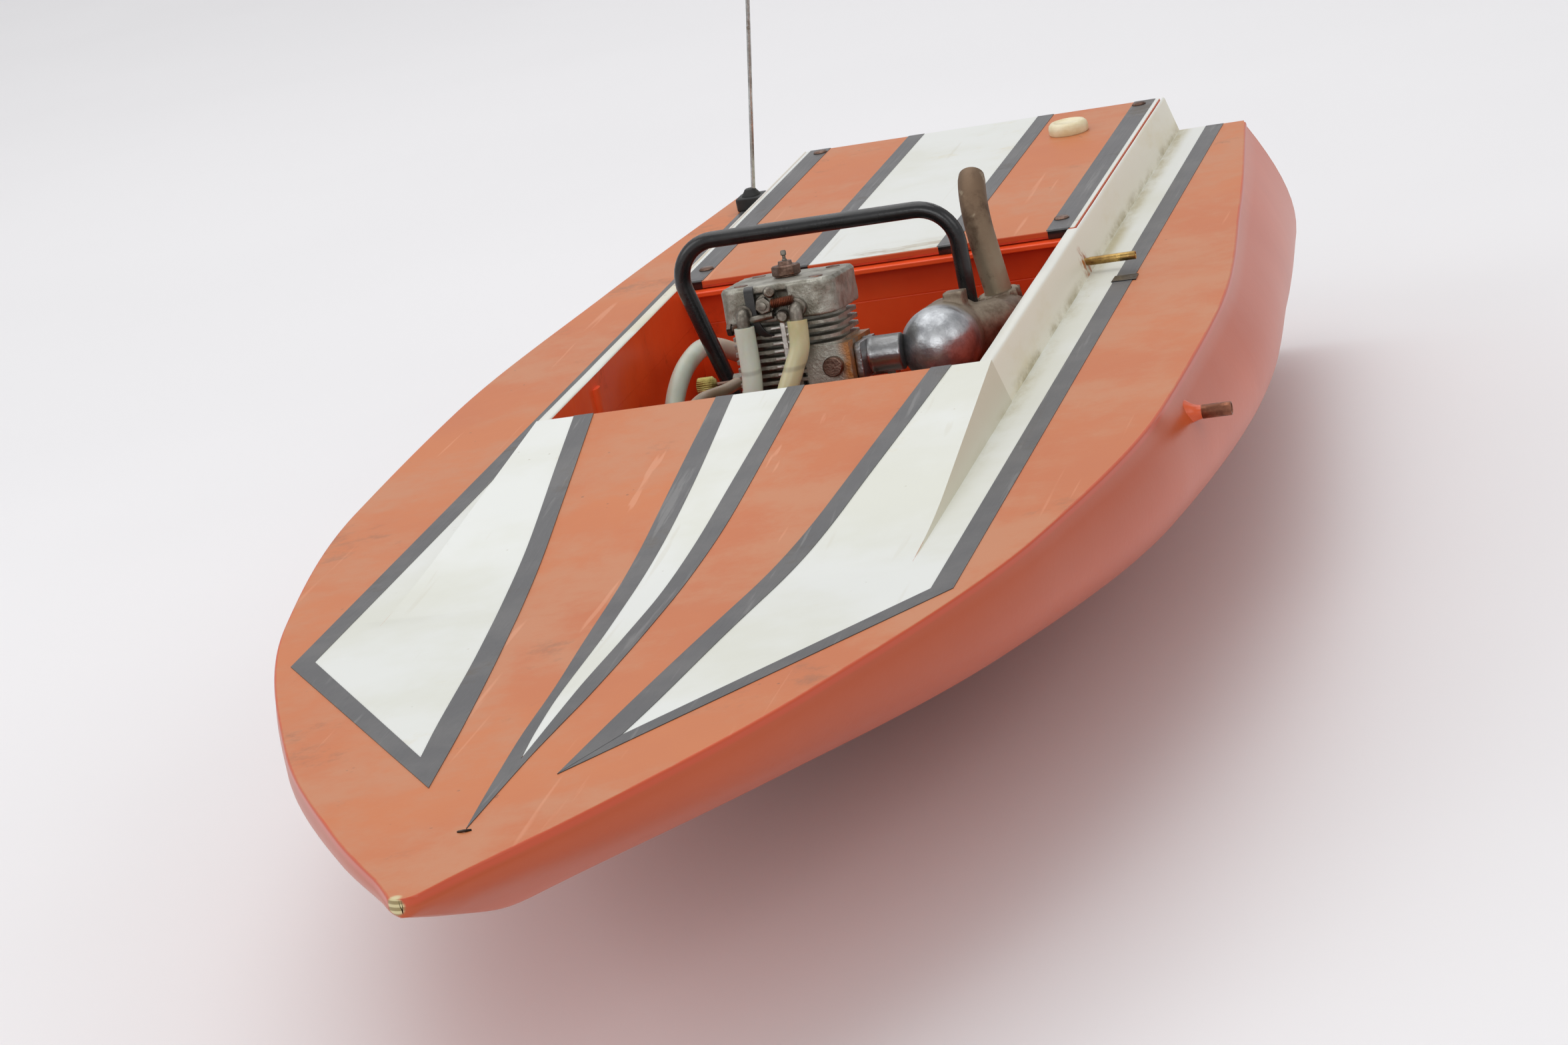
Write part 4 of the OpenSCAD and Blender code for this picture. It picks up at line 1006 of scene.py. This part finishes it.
def head_fittings():
    plug = Shape(ENGINE @ Matrix.Translation(Vector((HEAD_X, HEAD_Y, 0)) * MM))
    plug.lathe([(0.01, 56), (3.0, 56), (3.0, 67.2), (4.4, 67.2), (4.4, 67.6), (0.01, 67.6)])
    hexagon(plug, 5.1, 67.3, 71.2, (0, 0, 0))
    plug.lathe([(2.9, 71.0), (2.5, 71.6), (2.4, 72.5), (1.6, 72.6), (0.01, 72.6)])
    piece("glow_plug_body", plug, BROWN_STEEL, "dark_steel", replaces=("glow_plug",), bevel=0.12)
    pin = Shape(plug.matrix)
    pin.lathe([(0.9, 72.4), (0.9, 73.0), (0.6, 73.3), (0.6, 74.3), (1.0, 74.6), (1.0, 75.8), (0.7, 76.2),
               (0.01, 76.3)])
    piece("glow_plug_pin", pin, DULL_ALLOY, "dark_steel")

    elbows = Shape(ENGINE)
    for x in (-14, 5):
        bend = ((-21.4, 58), (-24.4, 58), (-25.6, 57.5), (ELBOW_Y, 56.4), (ELBOW_Y, 51))
        path = curve_through([Vector((x, y, z)) for y, z in bend], 5)
        elbows.tube([p * MM for p in path], 2.3, sides=20)
        elbows.lathe([(0.01, 0), (3.1, 0), (3.3, 0.4), (3.3, 1.6), (3.0, 2.0), (0.01, 2.0)], (x, -22.1, 58),
                     (0, -1, 0))
        elbows.lathe([(2.35, 52.2), (2.75, 52.6), (2.75, 53.2), (2.35, 53.6)], (x, ELBOW_Y, 0))
    piece("water_elbow_pair", elbows, DULL_ALLOY, "old_copper", replaces=("water_elbows",))

    # Fittings in the slot: a round boss, a threaded rod to the port elbow, a strap and a few screws
    rod = Shape(ENGINE)
    profile = [(0.01, 0)]
    for i in range(13):
        profile += [(1.35, i * 0.62 + 0.05), (1.75, i * 0.62 + 0.33)]
    rod.lathe(profile + [(0.01, 8.1)], (-3.6, -24.2, 60.6), (1, 0, 0.05), 24)
    piece("jumper_thread", rod, COPPER, "old_copper")
    boss = Shape(ENGINE)
    boss.lathe([(0.01, 0), (3.9, 0), (3.9, 4.4), (3.3, 5.4), (0.01, 5.4)], (-6.4, -17.6, 60.2), (0, -1, 0),
               32)
    hexagon(boss, 3.0, 5.2, 7.8, (-6.4, -17.6, 60.2), (0, -1, 0), 0.3)
    boss.lathe([(0.01, 7.6), (1.5, 7.6), (1.5, 9.2), (0.01, 9.4)], (-6.4, -17.6, 60.2), (0, -1, 0), 24)
    boss.lathe([(0.01, 0), (1.9, 0), (2.0, 2.6), (1.4, 3.2), (0.01, 3.2)], (-4.6, -22.4, 64.6),
               (0.45, -0.89, 0), 24)
    boss.lathe([(0.01, 0), (2.2, 0), (2.2, 3.6), (1.5, 4.2), (0.01, 4.2)], (-1.2, -20.4, 55.6),
               (0.2, -0.98, 0), 24)
    boss.lathe([(0.01, 0), (1.3, 0), (1.3, 9), (0.01, 9)], (-12.5, -24.3, 55.8), (1, 0, 0.1), 20)
    piece("jumper_boss", boss, DULL_ALLOY, "dark_steel", bevel=0.1)
    strap = Shape(ENGINE)
    line = [(-11.6, -20.2, 66.6), (-11.4, -22.6, 65.6), (-11.2, -23.2, 62), (-11.0, -23.4, 58),
            (-10.4, -23.4, 54), (-8.8, -22.8, 51), (-6.6, -21.6, 49.4)]
    path = curve_through([Vector(p) for p in line], 6)
    rings = []
    for i, p in enumerate(path):
        d = (path[min(i + 1, len(path) - 1)] - path[max(i - 1, 0)]).normalized()
        side = Vector((1, 0, 0))
        out = d.cross(side).normalized()
        corners = ((-1.7, -0.5), (1.7, -0.5), (1.7, 0.5), (-1.7, 0.5))
        rings.append([(p + side * a + out * b) * MM for a, b in corners])
    strap.loft(rings)
    piece("notch_strap", strap, BLACK_PLASTIC, "dark_steel", bevel=0.2)
    screws = Shape(ENGINE)
    screws.lathe([(0.01, 0), (1.6, 0), (1.6, 6), (0.01, 6)], (-19.0, -24.4, 53.6), (1, 0, 0), 20)
    hexagon(screws, 2.3, 0, 1.8, (-20.4, -24.4, 53.6), (1, 0, 0), 0.2)
    piece("clip_screw", screws, DARK_STEEL, "dark_steel", bevel=0.1)
    # Bright upright rib with short teeth, ahead of the fins
    comb = Shape(ENGINE)
    comb.box(*[Vector(v) * MM for v in ((-2.6, -21.6, 27), (-0.8, -19.4, 53.4))])
    for i in range(10):
        z = 26.9 + i * 2.7
        comb.box(*[Vector(v) * MM for v in ((-6.2, -21.3, z), (-2.4, -19.6, z + 1.0))])
        comb.box(*[Vector(v) * MM for v in ((-1.0, -21.3, z), (1.2, -19.6, z + 1.0))])
    piece("fin_comb", comb, COMB_ALLOY, "cast_aluminium", bevel=0.25)
    pads = Shape(ENGINE)
    for x in (-13.5, 13.5):
        for y in (-12.5, 12.5):
            pads.lathe([(0.01, 65.6), (2.6, 65.6), (2.6, 66.9), (2.3, 67.2), (0.01, 67.2)],
                       (HEAD_X + x, HEAD_Y + y, 0), steps=28)
    for y0, y1 in ((-24, -20.65), (12.05, 15)):
        pads.lathe([(0.01, y0), (3.2, y0), (3.5, y0 + 0.4), (3.5, y1), (0.01, y1)], (14, 0, 36), (0, 1, 0),
                   36)
    piece("engine_screws", pads, BROWN_STEEL, "dark_steel", replaces=("engine_bolts",), bevel=0.12)


def exhaust():
    shape = Shape(ENGINE)
    dome = [(0.01, -13.5)]
    dome += [(13.5 * sin(radians(a)), -13.5 * cos(radians(a))) for a in range(8, 91, 6)]
    dome += [(13.5, 25), (12.6, 27.4), (10, 29), (0.01, 29)]
    shape.lathe(dome, (45, 8, 35), (0, 1, 0), 64)
    shape.prism([(46, 19), (53, 19), (53, 28), (46, 28)], 44, 51.2)
    elbow = [row(47.5, 482, 102.5), row(54, 489, 102), row(61, 498, 101), row(61.5, 507, 100),
             row(60.3, 516, 99)]
    inverse = ENGINE.inverted()
    shape.tube([inverse @ p for p in curve_through(elbow, 5)], [9.6] * 10 + [8.6] * 11, sides=32)
    place, axis = (inverse @ STACK.translation) / MM, (inverse @ STACK).to_3x3() @ Vector((0, 0, 1))
    shape.lathe([(0.01, -6), (7.9, -6), (8.3, 2), (8.3, 5.4), (7.8, 6.2), (0.01, 6.2)], place, axis, 40)
    obj = piece("muffler_body", shape, MUFFLER, "cast_aluminium", replaces=("muffler",))
    cast(obj, 0.5, 8, 0.12, 5.0)

    shape = Shape(ENGINE)
    shape.lathe([(0.01, 20.1), (6.9, 20.1), (6.9, 22.4), (6.5, 23.4), (6.5, 33.9), (0.01, 33.9)],
                (0, 0, 35.5), (1, 0, 0), 48)
    plate = rounded_outline(25, 13, 2.6, (-2.5, 35.5))
    shape.loft([[Vector((x, a, b)) * MM for a, b in plate] for x in (20.1, 22.5)])
    obj = piece("manifold", shape, POLISHED, "cast_aluminium", replaces=("exhaust_manifold",))
    cast(obj, 0.35, 4, 0.05, 1.0)

    # Clamp ring with a serrated rim
    shape = Shape(STACK)
    profile = [(5.1, 5.0, 0), (6.6, 5.0, 0.2), (7.1, 4.6, 0.9), (7.1, 0.4, 0.9), (6.6, 0, 0.2), (5.1, 0, 0),
               (5.1, 5.0, 0)]
    shape.lathe(profile, (0, 0, 6.6), steps=120, caps=False, wave=lambda a: max(0.0, cos(a * 15)))
    piece("clamp_ring", shape, MUFFLER, "cast_aluminium", replaces=("exhaust_clamp",), sharp=60)

    # Up with a lean to starboard, and then aft
    path = [Vector((0, 0, z)) * MM for z in (0, 3.5, 7, 11, 16, 21, 26, 31.5)]
    straight_end = path[-1]
    for i in range(1, 11):
        a = radians(6 * i)
        path.append(straight_end + Vector((0, 1 - cos(a), sin(a))) * PIPE_BEND * MM)
    radii = [5.0] * (len(path) - 2) + [4.95, 4.6]
    shape = Shape(STACK).tube(path, radii, 4.0, 40)
    piece("exhaust_stack", shape, PIPE, "pipe_steel", replaces=("exhaust_pipe",), sharp=60)


def needle():
    shape = Shape(ENGINE)
    shape.lathe([(0.01, -43), (0.8, -43), (0.8, -21.2), (0.01, -21)], NEEDLE, (1, 0, 0), 24)
    piece("needle_spindle", shape, BROWN_STEEL, "brass", "needle")
    shape = Shape(ENGINE)
    profile = [(0.4, -50, 0), (2.7, -50, 0.05), (3.0, -49.6, 0.22), (3.0, -44.4, 0.22), (2.6, -44, 0.05),
               (2.2, -43.2, 0), (0.4, -42.6, 0)]
    shape.lathe(profile, NEEDLE, (1, 0, 0), 96, wave=lambda a: cos(24 * a))
    piece("needle_knob", shape, KNOB_BRASS, "brass", "needle", ("needle_valve",), sharp=60)


def bars():
    def bend(x, angles):
        turns = [radians(a) for a in angles]
        return [row(x + BAR_BEND * cos(a), BAR_S, BAR_Z + BAR_BEND * sin(a)) for a in turns]

    path = [row(50, BAR_S, z) for z in (62, 80, 100, 120)] + bend(36, range(0, 91, 9))
    path += [row(x, BAR_S, BAR_Z + BAR_BEND) for x in (26, 12, -2, -16, -30)] + bend(-39, range(90, 195, 8))
    lean = radians(14)
    along = Vector((sin(lean), 0, -cos(lean)))
    corner = row(-39 - BAR_BEND * cos(lean), BAR_S, BAR_Z - BAR_BEND * sin(lean))
    path += [corner + along * h * MM for h in (4, 18, 34, 50, 67)]
    shape = Shape().tube(path, 3.0, sides=32)
    piece("roll_bar_tube", shape, BLACK_TUBE, "black_sleeve", replaces=("roll_bar",), sharp=60)


HOSE_IN = [(-52, 582, 80), (-54, 565, 86), (-57, 545, 95), (-58, 530, 99.5), (-58, 515, 101),
           (-59.5, 500, 98), (-61.5, 490, 90), (-60, 478, 81), (-52, 462, 77), (-42, 446, 76),
           (-30, 435, 77), (-20, 430, 84), (-16, 431, 96), (-14.2, 433, 108), (-14, 434.5, 117),
           (-14, 435.6, 127)]
HOSE_OUT = [(132, 386, 90), (120, 387, 89), (95, 390, 84), (60, 398, 80), (28, 410, 80), (8, 420, 83),
            (-4, 426, 92), (-2.5, 429, 102), (1.5, 432, 111), (4.5, 434, 118), (5, 435.6, 127)]
FUEL = [(-12, 361, 70), (-12, 373, 74), (-16.5, 391, 84), (-27, 412, 92), (-39, 438, 98), (-41, 456, 98.5),
        (-35.5, 469, 97.6), (-34, 480.5, 96.6)]


def hoses():
    for name, route, outer, bore, material, slot, node in (
        ("hose_loop", HOSE_IN, 3.5, 2.4, HOSE_WHITE, "water_hose", "hose_in"),
        ("hose_cross", HOSE_OUT, 3.5, 2.4, HOSE_YELLOW, "water_hose", "hose_out"),
        ("fuel_tube", FUEL, 2.2, 1.2, HOSE_GREY, "fuel_hose", "fuel_line"),
    ):
        path = curve_through([row(*p) for p in route], 8)
        piece(name, Shape().tube(path, outer, bore, 28), material, slot, replaces=(node,), sharp=60)


head()
head_fittings()
exhaust()
needle()
bars()
hoses()


# ---------------------------------------------------------------- fittings on the outside
def outlets():
    shape = Shape()
    profile = [(2.1, 128), (2.1, 146), (2.3, 146.4), (2.3, 155.6), (2.1, 156), (1.7, 156), (1.6, 155.5),
               (1.6, 128.2), (2.1, 128)]
    shape.lathe(profile, (0, OUTLET_Y, 90), (1, 0, 0), 40)
    piece("hull_tube", shape, COPPER, "old_copper", replaces=("hull_outlet_tube",), sharp=50)
    shape = Shape()
    rings = []
    for u in stations(0, 1, 0.1):
        x = 137 + 9.3 * u
        r = 7.0 * (1 - u) ** 1.7 + 2.5
        ring = []
        for i in range(40):
            a = 2 * pi * i / 40
            lump = 1 + 0.10 * noise.noise(Vector((cos(a) * 2, sin(a) * 2, u * 3)))
            y, z = OUTLET_Y + r * lump * cos(a), 90 + r * lump * 0.86 * sin(a)
            ring.append(Vector((x, y, z)) * MM)
        rings.append(ring)
    shape.loft(rings)
    piece("filler_cone", shape, CONE_ORANGE, "hull_paint", replaces=("outlet_cone",), sharp=60)
    shape = Shape()
    profile = [(1.4, 72), (1.4, 83.6), (1.55, 84), (1.55, 100.7), (1.4, 101), (1.1, 101), (1.0, 100.6),
               (1.0, 72.2), (1.4, 72)]
    shape.lathe(profile, (0, 560 - ORIGIN_S, 104.5), (1, 0, 0), 32)
    piece("drain_tube", shape, BRASS, "brass", replaces=("coaming_tube",), sharp=50)


def aerial():
    foot = row(AERIAL_X, AERIAL_S, 100.05)
    shape = Shape()
    shape.prism(rounded_outline(12, 12, 1.6, (AERIAL_X, AERIAL_S - ORIGIN_S)), 100.05, 105.6)
    shape.lathe([(4.4, 5.2), (4.0, 6.0), (2.8, 7.6), (2.2, 8.6), (1.3, 8.6), (0.01, 8.4)],
                (AERIAL_X, AERIAL_S - ORIGIN_S, 100.05))
    piece("aerial_block", shape, BLACK_RUBBER, "black_rubber", replaces=("aerial_base",), bevel=0.7)
    lean = radians(10)
    up = Vector((sin(lean), 0, cos(lean)))
    lengths = [3, 60, 120, 180, 240, 300, 360, 397]
    path = [foot + up * h * MM for h in lengths]
    shape = Shape().tube(path, 0.9, sides=16)
    ball = [(0.01, 398.5)] + [
        (1.5 * sin(radians(a)), 400 - 1.5 * cos(radians(a))) for a in range(20, 161, 20)
    ] + [(0.01, 401.5)]
    shape.lathe(ball, foot / MM, up, 24)
    piece("aerial_wire", shape, STEEL, "aerial_wire", replaces=("aerial",))


outlets()
aerial()

dress(CAST, "crankcase", "backplate", "finned_cylinder", "rudder_bracket")
dress(DARK_STEEL, "coupling")
dress(DULL_ALLOY, "carburettor")
dress(BRASS, "stuffing_tube", "strut", "water_pickup", "propeller", "prop_nut")
dress(STEEL, "crankshaft", "flywheel", "prop_shaft", "throttle_lever", "throttle_rod", "rudder", "rudder_rod")
dress(BLACK_PLASTIC, "throttle_servo", "rudder_servo", "switch_body", "rudder_arm")
dress(BOX_GREY, "radio_boxes")
dress(WHITE_PLASTIC, "throttle_servo_arm", "rudder_servo_arm", "switch_slider")
dress(TANK, "fuel_tank")
dress(PLYWOOD, "radio_tray")
dress(BAY_RED, "front_bulkhead", "hull_frames", "engine_bearers", "roll_bar_feet")


# ---------------------------------------------------------------- floor, light and camera
def floor():
    """Level floor that curves up far behind the boat."""
    shape = Shape()
    turns = [radians(10 * i) for i in range(1, 10)]
    curve = [(5 + 1.5 * sin(a), 1.5 - 1.5 * cos(a)) for a in turns]
    profile = [(-6.0, 0.0), (5.0, 0.0)] + curve + [(6.5, 5.0)]
    shape.loft([[Vector((x, y, z)) for y, z in profile] for x in (-8.0, 8.0)], caps=False, closed=False)
    mesh = bpy.data.meshes.new("floor")
    mesh.from_pydata(shape.verts, [], shape.faces)
    mesh.materials.append(backdrop())
    mesh.shade_smooth()
    obj = bpy.data.objects.new("floor", mesh)
    bpy.context.scene.collection.objects.link(obj)


def softbox(name, place, target, size, power):
    data = bpy.data.lights.new(name, "AREA")
    data.shape = "RECTANGLE"
    data.size, data.size_y = size
    data.energy = power
    obj = bpy.data.objects.new(name, data)
    obj.location = place
    obj.rotation_euler = (Vector(target) - Vector(place)).to_track_quat("-Z", "Y").to_euler()
    bpy.context.scene.collection.objects.link(obj)


def studio():
    floor()
    world = bpy.data.worlds.new("studio")
    bpy.context.scene.world = world
    world.use_nodes = True
    background = world.node_tree.nodes["Background"]
    background.inputs[0].default_value = (1, 1, 1, 1)
    background.inputs[1].default_value = 0.56
    softbox("top_light", (-0.4, 0.3, 2.4), (0, -0.2, 0), (2.2, 2.6), 25)
    softbox("front_light", (0.2, -2.8, 1.1), (0, -0.2, 0.1), (1.6, 1.0), 11)
    softbox("left_light", (-2.2, -1.4, 1.6), (0, -0.3, 0.05), (1.2, 1.4), 13)
    softbox("right_light", (2.4, -1.2, 1.6), (0, -0.3, 0.05), (1.2, 1.4), 8)
    softbox("back_light", (-1.0, 4.0, 3.0), (-1.0, 4.2, 0), (5.0, 2.0), 40)


def camera():
    # Directions, place and focal length that lay the boat over its outline in the photo
    right = Vector((0.9542, 0.2263, -0.1955))
    up = Vector((0.1198, 0.3095, 0.9433))
    back = right.cross(up).normalized()
    up = back.cross(right.normalized())
    data = bpy.data.cameras.new("camera")
    data.lens = 91.84
    data.sensor_width = 36
    data.clip_end = 50
    obj = bpy.data.objects.new("camera", data)
    turn = Matrix((right.normalized(), up, back)).transposed().to_4x4()
    obj.matrix_world = Matrix.Translation((0.3673, -1.55015, 0.42954)) @ turn
    bpy.context.scene.collection.objects.link(obj)
    bpy.context.scene.camera = obj


studio()
camera()
bpy.context.scene.view_settings.view_transform = "Standard"
